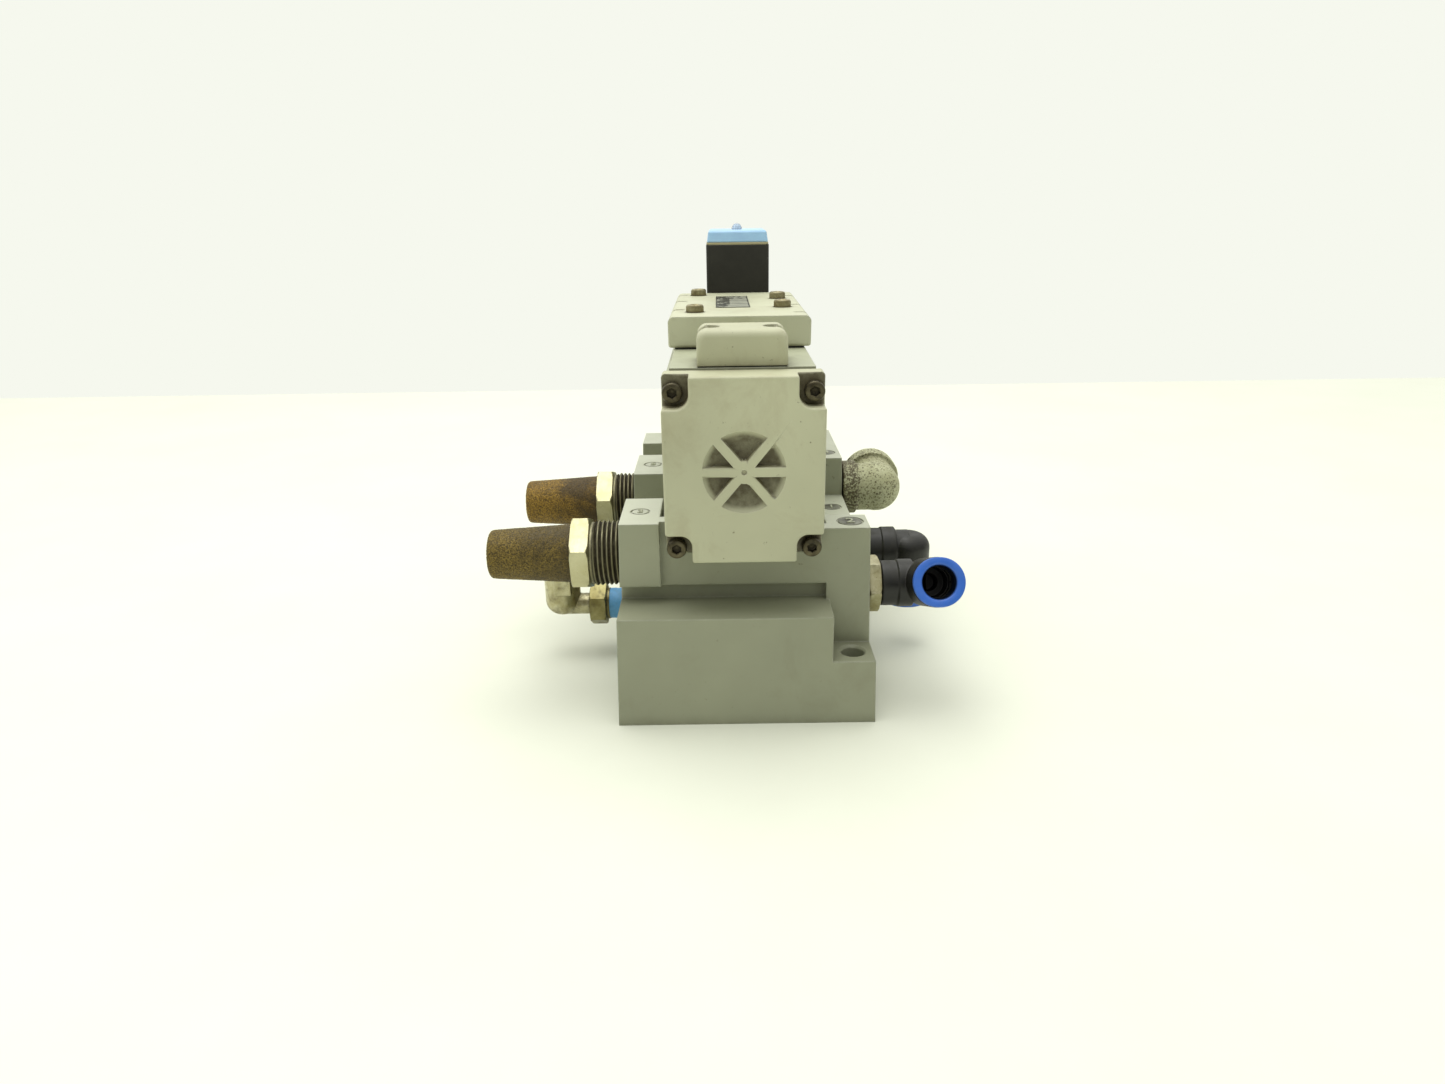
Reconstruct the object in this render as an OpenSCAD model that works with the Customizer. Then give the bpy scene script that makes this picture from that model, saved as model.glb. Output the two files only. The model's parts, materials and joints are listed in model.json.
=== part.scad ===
// Solenoid valve on a sub-base, with two exhaust mufflers, a nickel elbow, two tube elbows and an iron elbow.
// Origin: centre of the sub-base's footprint, on its bottom face. +X right, +Y to the coil end, +Z up.

/* [Sub-base] */
// Width of the sub-base at its bottom face
base_w = 100; // [98:0.5:104]
// Length of the sub-base
base_l = 182; // [180:1:190]
// How far each side leans in between the bottom face and the top of the bosses
base_draft = 2.1; // [1.8:0.1:2.3]
// Depth of the front and rear ledges
ledge_d = 17.5; // [17:0.1:18]
// Height of the ledges
ledge_h = 44.8; // [44:0.1:46]
// Height of the two bolting feet
foot_h = 26.3; // [20:0.1:28]
// Diameter of the hole in each bolting foot
foot_hole_d = 9; // [6:0.5:9.5]
// Height of the face that the valve is bolted to
seat_z = 65.3; // [65:0.1:65.6]

/* [Valve] */
// Sideways place of the valve's centre line
valve_x = -0.5; // [-0.7:0.1:-0.3]
// Width of the end covers
cover_w = 58; // [58:0.5:58.5]
// Height of the spool's axis
spool_z = 101.3; // [100:0.1:103]
// Height of the valve body's top face
body_top = 136; // [135.8:0.1:136]
// Travel of the spool
spool_travel = 5; // [3:0.5:5]

/* [Solenoid] */
// Width and depth of the coil
coil_w = 31; // [28:0.5:31]
// Height of the top of the coil
coil_top = 171.7; // [170:0.1:173]

/* [Mufflers] */
// Hexagon across the flats
muffler_af = 27; // [25:1:28]
// Length of the sintered cone outside the hexagon
cone_l = 33.2; // [24:0.1:36]
// Thread pitch, 14 turns to the inch
thread_pitch = 1.814; // [1.5:0.001:2]

/* [Tube elbows] */
// Outside diameter of the large tube
tube_d = 12; // [10:0.5:12]
// Outside diameter of the small tube
small_tube_d = 8; // [6:0.5:8]
// Upward lean of the front elbow's leg, in degrees
front_lean = 22; // [0:1:30]

/* [Hidden] */
$fn = 64;
eps = 0.05;
far = 120;              // reach of the cutting blocks

// sub-base
boss_top = 77.8;
draft_z = 77.8;
base_top = 78.1;
right_boss_top = 74.2;
mid_z = 60;             // low surfaces between the bosses
step_x = 32.9;          // inner side of the foot notch
channel_l = -32.6;
channel_r = 31.6;
fit_y = 24;             // the channel is narrower in front of this, close to the cover
pillar_y = 14.5;
pillar_z = 52.4;
cove_y = 21.5;
foot_x = 41.6;
foot_y = 9.5;
left_bosses = [[pillar_y, 47.9], [84.8, 118.9], [141.7, base_l - ledge_d]];
right_low = [33.7, 106.7];
markers = [[41.2, 25.9, right_boss_top, 5.3], [-40.7, 30.6, boss_top, 3.9], [-40.2, 101.5, boss_top, 4.2],
    [41.4, 88.8, mid_z, 4.6], [41.6, 117.8, base_top, 4.4]];

// ports of the valve along the spool, and of the sub-base on its sides
port_y = [35, 55, 75, 95, 115];
port_r = 5.5;
muffler_y = [31.7, 101.5];
muffler_z = 60.4;
nickel_y = 66;
nickel_z = 23.7;
tube_y = [31.1, 71.5];
tube_z = 45.9;
iron_y = 117.8;
iron_z = 60.8;
gallery_z = 54;
muffler_bore_r = 12.85;
stud_bore_r = 8.35;
pilot_hole = [-22, 150];
hold_down_x = 26.6;
hold_down_y = [52, 140];

// valve
gasket_t = 1;
thin_gasket = 0.5;
body_z0 = seat_z + gasket_t;
body_y = [16.9, 164.8];
flange_half = 31.2;
flange_z = 74.3;
body_half = 28.6;
land_half = 26.4;
shoulder_z = 131.5;
bore_r = 14;
cover_z = [68.3, 135.4];
cover_lip_z = 66.9;
cover_y = [1, body_y[0] - thin_gasket];
fit_half = cover_w / 2 + 0.3;
pocket_y = 9;
screw_dx = 25.1;
screw_z = [70.9, 129.1];
pilot_y = [body_y[1] + thin_gasket, 196];
m4_r = 2;
m4_hole = 2.05;
m4_head_r = 3.7;
spoke_gap_r = 15;
spoke_w = 3.5;

// spool stack
cage_l = 16;
seal_t = 4;
land_r = 9.2;
stem_r = 6.3;
lands = [[22.5, 33], [48, 68.5], [88, 108.5], [122, 133]];
stack_y = [port_y[0] - cage_l / 2 - seal_t, port_y[4] + cage_l / 2 + seal_t];
piston_y = [172, 178];
chamber_r = 15;
chamber_end = 179.5;
spring_seat_y = 8;

// top parts
hat_half = 16.45;
hat_y = [17, 40.2];
hat_top = 149.1;
hat_screw = [11.9, 29.2];
top_y = [62.2, 164.2];
top_half = 28.8;
top_z = 148.9;
top_gasket = 0.6;
top_screws = [[-18.2, 79.5], [-18, 152.6], [19.2, 95.5], [19.2, 133]];

// solenoid
coil_x = 0.9;
coil_y = 180.2;
tube_foot_z = 124.5;
armature_r = 4.15;
armature_end = 153.7;
override_z = 110;

// fittings
muffler_reach = [60.6, 58.4];    // hexagon's inner face from the centre plane
leg_x = 73.5;
leg_r = 9.75;
leg_back = 7;
leg_l = 24.9;
small_leg_x = 79.9;
small_leg_r = 7.75;
small_back = 4.2;
small_leg_l = 21;
release_travel = 1.5;
iron_leg_x = 66;
iron_r = 11.6;

function half_w(z) = base_w / 2 - base_draft * z / draft_z;
function arc(x, y, r, a0, a1, n = 8) = [for (i = [0:n]) let(a = a0 + (a1 - a0) * i / n) [x + r * cos(a), y + r * sin(a)]];
function rounded(x0, y0, x1, y1, r) = concat(arc(x1 - r, y1 - r, r, 0, 90), arc(x0 + r, y1 - r, r, 90, 180),
    arc(x0 + r, y0 + r, r, 180, 270), arc(x1 - r, y0 + r, r, 270, 360));
// upright on its lower side, round at its two upper corners
function tombstone(x0, y0, x1, y1, r) = concat([[x0, y0], [x1, y0]], arc(x1 - r, y1 - r, r, 0, 90),
    arc(x0 + r, y1 - r, r, 90, 180));

// ---------- helpers ----------
module placed() translate([0, -base_l / 2, 0]) children();
module block(x, y, z) translate([x[0], y[0], z[0]]) cube([x[1] - x[0], y[1] - y[0], z[1] - z[0]]);
module prism_y(y, points) translate([0, y[1], 0]) rotate([90, 0, 0]) linear_extrude(y[1] - y[0]) polygon(points);
module prism_x(x, points) translate([x[0], 0, 0]) rotate([90, 0, 90]) linear_extrude(x[1] - x[0]) polygon(points);
module rod_x(x, y, z, r) translate([x[0], y, z]) rotate([0, 90, 0]) cylinder(h = x[1] - x[0], r = r);
module rod_y(x, y, z, r) translate([x, y[0], z]) rotate([-90, 0, 0]) cylinder(h = y[1] - y[0], r = r);
module rod_z(x, y, z, r) translate([x, y, z[0]]) cylinder(h = z[1] - z[0], r = r);
module turned(points) rotate_extrude() polygon(points);
module ring(r0, r1, h) difference() {
    cylinder(h = h, r = r1);
    translate([0, 0, -1]) cylinder(h = h + 2, r = r0);
}
// hexagon prism along Z with both ends turned to a chamfer
module hex_nut(af, h) intersection() {
    cylinder(h = h, r = af / sqrt(3), $fn = 6);
    turned([[0, 0], [af / 2 * 0.97, 0], [af / sqrt(3) + 0.01, 1.1], [af / sqrt(3) + 0.01, h - 1.1],
        [af / 2 * 0.97, h], [0, h]]);
}
// round bar with thread ridges, from z0 up to z1; its radius grows by 1 in 32
module thread_bar(z0, z1, r, pitch) {
    turns = floor((z1 - z0) / pitch);
    depth = pitch * 0.6;
    function out(z) = r + (z - z1) / 32;
    turned(concat([[0, z0], [out(z0) - depth, z0]],
        [for (i = [0:turns - 1]) for (k = [0:1]) let(z = z1 - (turns - i - (k == 0 ? 0.5 : 0)) * pitch)
            [k == 0 ? out(z) : out(z) - depth, k == 0 ? z : z + pitch * 0.98]],
        [[0, z1]]));
}
// socket-head screw along -Z, with its head's underside at z = 0
module cap_screw(length, head_r = m4_head_r, head_h = 4, r = m4_r, key = 3.1) difference() {
    union() {
        turned([[0, 0], [head_r, 0], [head_r, head_h - 0.5], [head_r - 0.5, head_h], [0, head_h]]);
        translate([0, 0, -length]) cylinder(h = length + eps, r = r);
    }
    translate([0, 0, head_h - 2.2]) cylinder(h = 3, r = key / sqrt(3), $fn = 6);
}
// coil spring along Z, a six-sided wire swept round a helix
module coil_spring(h, r, wire, turns) {
    steps = 14;
    count = turns * steps;
    points = [for (i = [0:count]) for (k = [0:5])
        let(a = 360 * i / steps, b = 60 * k, z = wire + (h - 2 * wire) * i / count)
        [(r + wire * cos(b)) * cos(a), (r + wire * cos(b)) * sin(a), z + wire * sin(b)]];
    sides = [for (i = [0:count - 1]) for (k = [0:5])
        [i * 6 + k, (i + 1) * 6 + k, (i + 1) * 6 + (k + 1) % 6, i * 6 + (k + 1) % 6]];
    polyhedron(points, concat(sides, [[0, 1, 2, 3, 4, 5]], [[for (k = [5:-1:0]) count * 6 + k]]));
}

// ---------- sub-base ----------
module end_notch() {
    block([channel_l, far], [-1, ledge_d], [ledge_h, far]);
    block([-far, channel_l + eps], [-1, pillar_y], [pillar_z, far]);
    block([-far, channel_l + eps], [-1, ledge_d], [ledge_h, pillar_z]);
    block([step_x, far], [-1, ledge_d], [foot_h, ledge_h + 1]);
}
module foot_hole() rod_z(foot_x, foot_y, [-1, foot_h + 1], foot_hole_d / 2);
module foot_chamfer() translate([foot_x, foot_y, foot_h])
    turned([[0, -0.9], [foot_hole_d / 2, -0.9], [foot_hole_d / 2 + 1.4, 0.5], [0, 0.5]]);
module galleries() {
    // exhausts, left
    for (i = [0, 1]) rod_x([-far, -34.5], muffler_y[i], muffler_z, muffler_bore_r);
    rod_x([-36, -12], muffler_y[0], gallery_z, 6);
    rod_x([-36, -12], muffler_y[1], gallery_z, 6);
    rod_y(-12, [muffler_y[1], port_y[4]], gallery_z, port_r - 0.2);
    rod_z(-12, port_y[0], [gallery_z, seat_z + 1], port_r);
    rod_z(-12, port_y[4], [gallery_z, seat_z + 1], port_r);
    // outlets and supply, right
    for (i = [0, 1]) rod_x([36, far], tube_y[i], tube_z, stud_bore_r);
    rod_x([12, 37], tube_y[0], tube_z, 6);
    rod_y(12, [tube_y[0], port_y[1]], tube_z, port_r - 0.2);
    rod_z(12, port_y[1], [tube_z, seat_z + 1], port_r);
    rod_x([-0.5, 37], tube_y[1], tube_z, 6);
    rod_z(0, port_y[2], [tube_z, seat_z + 1], port_r);
    rod_x([35.5, far], iron_y, iron_z, stud_bore_r);
    rod_x([12, 37], iron_y, gallery_z, 6);
    rod_y(12, [port_y[3], iron_y], gallery_z, port_r - 0.2);
    rod_z(12, port_y[3], [gallery_z, seat_z + 1], port_r);
    // pilot supply
    rod_x([-far, -37], nickel_y, nickel_z, 6.6);
    rod_x([-38, pilot_hole[0]], nickel_y, nickel_z, 3);
    rod_y(pilot_hole[0], [nickel_y, pilot_hole[1]], nickel_z, 2.9);
    rod_z(pilot_hole[0], pilot_hole[1], [nickel_z, seat_z + 1], 2.8);
}
module sub_base() placed() color([0.50, 0.51, 0.44]) difference() {
    prism_y([0, base_l], [[-half_w(0), 0], [half_w(0), 0], [half_w(base_top), base_top], [-half_w(base_top), base_top]]);
    end_notch();
    // the far end is the front end turned half round, without its pillar
    translate([0, base_l, 0]) rotate([0, 0, 180]) {
        block([-far, far], [-1, ledge_d], [ledge_h, far]);
        block([step_x, far], [-1, ledge_d], [foot_h, ledge_h + 1]);
        foot_hole();
        foot_chamfer();
    }
    foot_hole();
    foot_chamfer();
    // dark cove under the front face
    block([-far, channel_r], [ledge_d - 4, cove_y], [ledge_h, pillar_z - 0.6]);
    // channel that the valve stands in
    block([channel_l, channel_r], [fit_y - 0.3, base_l + 1], [seat_z, far]);
    block([valve_x - fit_half, valve_x + fit_half], [-1, fit_y], [seat_z, far]);
    // left side: low floors between three bosses
    block([-far, channel_l + eps], [left_bosses[0][1], left_bosses[1][0]], [mid_z, far]);
    block([-far, channel_l + eps], [left_bosses[1][1], left_bosses[2][0]], [mid_z, far]);
    block([-far, valve_x - fit_half + eps], [-1, base_l + 1], [boss_top, far]);
    // right side: front boss, low floor, tall rear block
    block([valve_x + fit_half - eps, far], [-1, right_low[0]], [right_boss_top, far]);
    block([channel_r - eps, far], right_low, [mid_z, far]);
    // round marks beside the ports
    for (m = markers) translate([m[0], m[1], m[2] - 0.5]) ring(m[3] - 0.7, m[3], 2);
    galleries();
    for (x = [-1, 1]) for (y = hold_down_y) rod_z(valve_x + x * hold_down_x, y, [seat_z - 13, seat_z + 1], 2.55);
    // cored pockets in the underside
    for (y = [[30, 86], [96, 152]]) block([-38, 38], y, [-1, 13]);
}

module port_holes(z) {
    for (p = [[-12, 0], [12, 1], [0, 2], [12, 3], [-12, 4]]) rod_z(p[0], port_y[p[1]], z, port_r);
    rod_z(pilot_hole[0], pilot_hole[1], z, 2.8);
    for (x = [-1, 1]) for (y = hold_down_y) rod_z(valve_x + x * hold_down_x, y, z, 2.65);
}
module base_gasket() placed() color([0.09, 0.09, 0.09]) difference() {
    union() {
        block([valve_x - flange_half + 0.6, valve_x + flange_half - 0.6], [fit_y + 0.3, body_y[1] - 0.9], [seat_z, body_z0]);
        block([valve_x - 28, valve_x + 28], [ledge_d + 0.6, fit_y + 1], [seat_z, body_z0]);
    }
    port_holes([seat_z - 1, body_z0 + 1]);
}
module hold_down_screws() placed() color([0.32, 0.31, 0.28])
    for (x = [-1, 1]) for (y = hold_down_y)
        translate([valve_x + x * hold_down_x, y, flange_z]) cap_screw(19.5, 4.2, 5, 2.5, 4);

// ---------- valve body and its inner parts ----------
module valve_body() placed() color([0.66, 0.69, 0.58]) difference() {
    union() {
        prism_y(body_y, [[valve_x - body_half, body_z0], [valve_x + body_half, body_z0], [valve_x + body_half, shoulder_z],
            [valve_x + land_half, shoulder_z + 1.5], [valve_x + land_half, body_top],
            [valve_x - land_half, body_top], [valve_x - land_half, shoulder_z + 1.5],
            [valve_x - body_half, shoulder_z]]);
        block([valve_x - flange_half, valve_x + flange_half], [fit_y, body_y[1]], [body_z0, flange_z]);
    }
    rod_y(valve_x, [0, base_l], spool_z, bore_r);
    port_holes([body_z0 - 1, body_z0 + 12]);
    // passages up to the spool bore
    for (p = [[-9, 0], [9, 1], [0, 2], [9, 3], [-9, 4]]) rod_z(p[0], port_y[p[1]], [body_z0 + 3, spool_z], 3.9);
    // screw niches and cast pockets in both sides
    for (s = [-1, 1]) for (y = hold_down_y) translate([valve_x + s * (hold_down_x + 0.3), y, flange_z])
        cylinder(h = 34, r = 5.4);
    for (s = [-1, 1]) for (y = [[63, 83], [86, 106], [109, 129]])
        block([valve_x + s * (body_half + 0.7) - 3, valve_x + s * (body_half + 0.7) + 3], y, [81, 125]);
    // threaded holes for the covers
    for (x = [-1, 1]) for (z = screw_z) {
        rod_y(valve_x + x * screw_dx, [0, body_y[0] + 12], z, m4_hole);
        rod_y(valve_x + x * screw_dx, [body_y[1] - 12, base_l], z, m4_hole);
    }
    for (x = [-1, 1]) rod_z(valve_x + x * hat_screw[0], hat_screw[1], [123, far + 30], m4_hole);
    for (s = top_screws) rod_z(valve_x + s[0], s[1], [122, far + 30], m4_hole);
}
module seal_cages() placed() color([0.80, 0.78, 0.70])
    for (y = port_y) difference() {
        translate([valve_x, y - cage_l / 2, spool_z]) rotate([-90, 0, 0]) ring(9.7, bore_r - 0.06, cage_l);
        for (a = [0:60:150]) translate([valve_x, y, spool_z]) rotate([0, a + 30, 0]) cylinder(h = 40, r = 3.4, center = true);
    }
module spool_seals() placed() color([0.10, 0.10, 0.10])
    for (i = [0:5]) translate([valve_x, stack_y[0] + i * (cage_l + seal_t) + 0.02, spool_z]) rotate([-90, 0, 0])
        ring(land_r + 0.06, bore_r - 0.06, seal_t - 0.04);
module stem_bush() placed() color([0.78, 0.62, 0.30])
    translate([valve_x, stack_y[1] + 0.05, spool_z]) rotate([-90, 0, 0]) difference() {
        ring(7.56, bore_r - 0.06, body_y[1] - stack_y[1] - 0.1);
        translate([0, 0, -1]) cylinder(h = 8, r = land_r + 0.5);
    }
module spool() placed() color([0.80, 0.81, 0.82])
    translate([valve_x, 0, spool_z]) rotate([-90, 0, 0]) turned(concat([[0, 17.2], [4.5, 17.2], [4.5, lands[0][0]]],
        [for (i = [0:3]) for (p = [[land_r, lands[i][0]], [land_r, lands[i][1]],
            [i < 3 ? stem_r : 7.5, lands[i][1]], [i < 3 ? stem_r : 7.5, i < 3 ? lands[i + 1][0] : piston_y[0]]]) p],
        [[4, piston_y[0]], [4, piston_y[1]], [0, piston_y[1]]]));
module return_spring() placed() color([0.70, 0.70, 0.68])
    translate([valve_x, spring_seat_y + 0.1, spool_z]) rotate([-90, 0, 0]) coil_spring(lands[0][0] - spring_seat_y - 0.3, 7.1, 0.8, 4);
module pilot_piston() placed() color([0.75, 0.76, 0.78])
    translate([valve_x, piston_y[0], spool_z]) rotate([-90, 0, 0]) difference() {
        turned([[4.03, 0.03], [13.4, 0.03], [chamber_r - 0.08, 0.8], [chamber_r - 0.08, 1.9], [12.5, 1.9],
            [12.5, 4.1], [chamber_r - 0.08, 4.1], [chamber_r - 0.08, 5.2], [13.4, 5.9], [4.03, 5.9]]);
    }
module piston_seal() placed() color([0.08, 0.08, 0.08])
    translate([valve_x, piston_y[0] + 2, spool_z]) rotate([-90, 0, 0]) ring(12.55, chamber_r - 0.05, 2);

// ---------- covers ----------
// corner of the front cover that is cut back to the screw head; sx and sz point to the corner
module corner_cut(sx, sz, w, h, r, y) {
    cx = valve_x + sx * (cover_w / 2 + 3);
    ix = valve_x + sx * (cover_w / 2 - w);
    cz = sz > 0 ? cover_z[1] + 3 : cover_lip_z - 3;
    iz = sz > 0 ? cover_z[1] - h : cover_z[0] + h;
    a0 = sx > 0 ? (sz > 0 ? 270 : 90) : (sz > 0 ? 270 : 90);
    prism_y(y, concat([[cx, cz], [cx, iz]], arc(ix + sx * r, iz + sz * r, r, a0, sx * sz > 0 ? a0 - 90 : a0 + 90),
        [[ix, cz]]));
}
module spoke_pockets() translate([valve_x, cover_y[0], spool_z]) difference() {
    rotate([-90, 0, 0]) turned([[3.4, -1], [spoke_gap_r, -1], [spoke_gap_r, 0.35], [14.2, 0.8], [12.4, 2.0],
        [10, 2.9], [7.5, 3.3], [3.4, 3.3]]);
    for (a = [0, 50, -50]) rotate([0, a, 0]) cube([40, 20, spoke_w], center = true);
    rotate([-90, 0, 0]) translate([0, 0, -2]) cylinder(h = 8, r = 4.2);
}
module cover_outline(y, lip) prism_y(y, concat(
    arc(valve_x + cover_w / 2 - 1.6, cover_z[1] - 1.6, 1.6, 0, 90, 5),
    arc(valve_x - cover_w / 2 + 1.6, cover_z[1] - 1.6, 1.6, 90, 180, 5),
    [[valve_x - cover_w / 2, lip], [valve_x + cover_w / 2, lip]]));
module cover_screw_holes(y) for (x = [-1, 1]) for (z = screw_z) rod_y(valve_x + x * screw_dx, y, z, 2.2);
module front_end_cover() placed() color([0.72, 0.71, 0.58]) difference() {
    union() {
        cover_outline([pocket_y - eps, cover_y[1]], cover_z[0]);
        difference() {
            cover_outline([cover_y[0], pocket_y], cover_lip_z);
            for (s = [-1, 1]) {
                corner_cut(s, 1, 9.7, 11.4, 4.8, [-1, pocket_y]);
                corner_cut(s, -1, 9.8, 9, 4.2, [-1, pocket_y]);
            }
        }
        rod_y(valve_x, [cover_y[1] - 1, stack_y[0] - 0.05], spool_z, bore_r - 0.06);
    }
    rod_y(valve_x, [spring_seat_y, 30], spool_z, 9.7);
    spoke_pockets();
    rod_y(valve_x, [0, cover_y[0] + 0.5], spool_z, 1);
    cover_screw_holes([0, 30]);
}
module cover_gasket(y, r) difference() {
    prism_y(y, rounded(valve_x - 28, body_z0 + 2.6, valve_x + 28, 134.6, 1.5));
    rod_y(valve_x, [y[0] - 1, y[1] + 1], spool_z, r);
    cover_screw_holes([y[0] - 1, y[1] + 1]);
}
module front_cover_gasket() placed() color([0.08, 0.08, 0.08]) cover_gasket([cover_y[1], body_y[0]], bore_r + 0.1);
module front_cover_screws() placed() color([0.34, 0.31, 0.26])
    for (x = [-1, 1]) for (z = screw_z) translate([valve_x + x * screw_dx, pocket_y - eps, z]) rotate([90, 0, 0]) cap_screw(18);

module pilot_end_cover() placed() color([0.72, 0.71, 0.58]) difference() {
    union() {
        cover_outline([pilot_y[0], pilot_y[1]], cover_z[0]);
        block([valve_x - 17, valve_x + 17], [pilot_y[0], pilot_y[1]], [cover_z[1] - 3, body_top + 0.3]);
    }
    // the four corners are cut back to the screw heads
    for (s = [-1, 1]) for (z = [0, 1]) block([valve_x + s * 24.6 - 5.4, valve_x + s * 24.6 + 5.4],
        [pilot_y[0] + 8, pilot_y[1] + 1], z == 0 ? [cover_z[0] - 1, 77.6] : [123.4, far + 30]);
    rod_y(valve_x, [pilot_y[0] - 1, chamber_end], spool_z, chamber_r);
    cover_screw_holes([pilot_y[0] - 1, pilot_y[1]]);
    // seat of the armature tube, with the nozzle left standing
    difference() {
        rod_z(coil_x, coil_y, [tube_foot_z - 0.5, far + 30], 6.95);
        rod_z(coil_x, coil_y, [tube_foot_z - 1, 126.3], 1.6);
    }
    rod_z(coil_x, coil_y, [118.5, 127], 0.6);
    rod_y(coil_x, [chamber_end - 2, coil_y], 113.5, 1.2);
    rod_z(coil_x, coil_y, [113.5, 119], 1.1);
    rod_y(valve_x, [181.9, pilot_y[1] + 1], override_z, 3.06);
    // recessed panel on the rear face
    block([valve_x - 18, valve_x + 18], [pilot_y[1] - 0.8, pilot_y[1] + 1], [76, 103]);
}
module pilot_cover_gasket() placed() color([0.08, 0.08, 0.08]) cover_gasket([body_y[1], pilot_y[0]], chamber_r + 0.3);
module pilot_cover_screws() placed() color([0.34, 0.31, 0.26])
    for (x = [-1, 1]) for (z = screw_z) translate([valve_x + x * screw_dx, pilot_y[0] + 8, z]) rotate([-90, 0, 0]) cap_screw(18);

module override_button() placed() color([0.76, 0.60, 0.26])
    translate([valve_x, 0, override_z]) rotate([-90, 0, 0]) difference() {
        turned([[0, 186], [3, 186], [3, 190], [2.2, 190], [2.2, 191.6], [3, 191.6], [3, 197.1], [2.6, 197.5], [0, 197.5]]);
        translate([0, 0, 197.5]) cube([5, 0.9, 1.4], center = true);
    }
module override_seal() placed() color([0.08, 0.08, 0.08])
    translate([valve_x, 190.1, override_z]) rotate([-90, 0, 0]) ring(2.25, 3.03, 1.4);
module override_spring() placed() color([0.70, 0.70, 0.68])
    translate([valve_x, 182, override_z]) rotate([-90, 0, 0]) coil_spring(3.9, 2.1, 0.35, 4);

module blanking_cap() placed() color([0.76, 0.76, 0.64]) difference() {
    prism_y(hat_y, tombstone(valve_x - hat_half, body_top + thin_gasket, valve_x + hat_half, hat_top, 3.7));
    for (x = [-1, 1]) {
        rod_z(valve_x + x * hat_screw[0], hat_screw[1], [body_top - 1, hat_top], 2.2);
        rod_z(valve_x + x * hat_screw[0], hat_screw[1], [141, hat_top + 1], 4.1);
        block([valve_x + x * 15 - 3, valve_x + x * 15 + 3], [hat_screw[1] - 3.8, hat_screw[1] + 3.8], [141, hat_top + 1]);
    }
    block([valve_x - 6, valve_x + 6], [hat_y[0] + 4, hat_y[1] - 4], [body_top, body_top + 5]);
}
module blanking_cap_gasket() placed() color([0.08, 0.08, 0.08]) difference() {
    block([valve_x - hat_half + 0.4, valve_x + hat_half - 0.4], [hat_y[0] + 0.4, hat_y[1] - 0.4],
        [body_top, body_top + thin_gasket]);
    for (x = [-1, 1]) rod_z(valve_x + x * hat_screw[0], hat_screw[1], [body_top - 1, body_top + 2], 2.2);
}
module blanking_cap_screws() placed() color([0.34, 0.31, 0.26])
    for (x = [-1, 1]) translate([valve_x + x * hat_screw[0], hat_screw[1], 141]) cap_screw(16);

module top_cover() placed() color([0.80, 0.81, 0.70]) difference() {
    prism_y(top_y, tombstone(valve_x - top_half, body_top + top_gasket, valve_x + top_half, top_z, 2.6));
    difference() {
        block([valve_x - 23.5, valve_x + 23.5], [top_y[0] + 5, top_y[1] - 5], [body_top, 144.5]);
        for (s = top_screws) rod_z(valve_x + s[0], s[1], [body_top - 1, 150], 5);
    }
    for (s = top_screws) {
        rod_z(valve_x + s[0], s[1], [body_top - 1, 150], 2.2);
        rod_z(valve_x + s[0], s[1], [top_z - 1, 150], 4.1);
    }
    // shallow grooves on the two long edges
    for (y = [88.5, 124.5, 154]) block([valve_x - 40, valve_x - 22.5], [y - 1.2, y + 1.2], [top_z - 0.7, 150]);
    for (y = [74.3, 104.7, 145.3]) block([valve_x + 22.5, valve_x + 40], [y - 1.2, y + 1.2], [top_z - 0.7, 150]);
}
module top_cover_gasket() placed() color([0.08, 0.08, 0.08]) difference() {
    block([valve_x - 26, valve_x + 26], [top_y[0] + 0.6, top_y[1] - 0.6], [body_top, body_top + top_gasket]);
    difference() {
        block([valve_x - 22, valve_x + 22], [top_y[0] + 6.5, top_y[1] - 6.5], [body_top - 1, body_top + 2]);
        for (s = top_screws) rod_z(valve_x + s[0], s[1], [body_top - 1, 150], 5);
    }
    for (s = top_screws) rod_z(valve_x + s[0], s[1], [body_top - 1, 150], 2.2);
}
module top_cover_screws() placed() color([0.60, 0.58, 0.48])
    for (s = top_screws) translate([valve_x + s[0], s[1], top_z - 1]) cap_screw(24);
module label_plate() placed() color([0.62, 0.63, 0.58])
    block([-10, 4.8], [94.3, 143], [top_z, top_z + 0.3]);

// ---------- solenoid ----------
module armature_tube() placed() color([0.72, 0.72, 0.70]) translate([coil_x, coil_y, 0]) difference() {
    turned([[0, tube_foot_z], [6.9, tube_foot_z], [6.9, 136.2], [5, 136.2], [5, 173.1], [4, 173.1], [4, 177.2], [0, 177.2]]);
    translate([0, 0, tube_foot_z - 1]) cylinder(h = armature_end - tube_foot_z + 1, r = armature_r);
}
module plunger() placed() color([0.62, 0.63, 0.65]) translate([coil_x, coil_y, 0]) difference() {
    turned([[0, 127.2], [3.6, 127.2], [armature_r - 0.07, 127.8], [armature_r - 0.07, 151.8],
        [3.8, 152.2], [0, 152.2]]);
    translate([0, 0, 127]) cylinder(h = 1.7, r = 2.66);
    translate([0, 0, 143]) cylinder(h = 12, r = 2.4);
}
module plunger_seal() placed() color([0.10, 0.10, 0.10])
    translate([coil_x, coil_y, 126.5]) cylinder(h = 2.1, r = 2.6);
module plunger_spring() placed() color([0.70, 0.70, 0.68])
    translate([coil_x, coil_y, 143.1]) coil_spring(armature_end - 143.2, 1.75, 0.3, 6);
plug_face = coil_y + coil_w / 2 + 1.5;
blades = [[-9, 151, 0.8, 6.3], [9, 151, 0.8, 6.3], [0, 161.5, 6.3, 0.8]];
plug_screw_z = 148;
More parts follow.
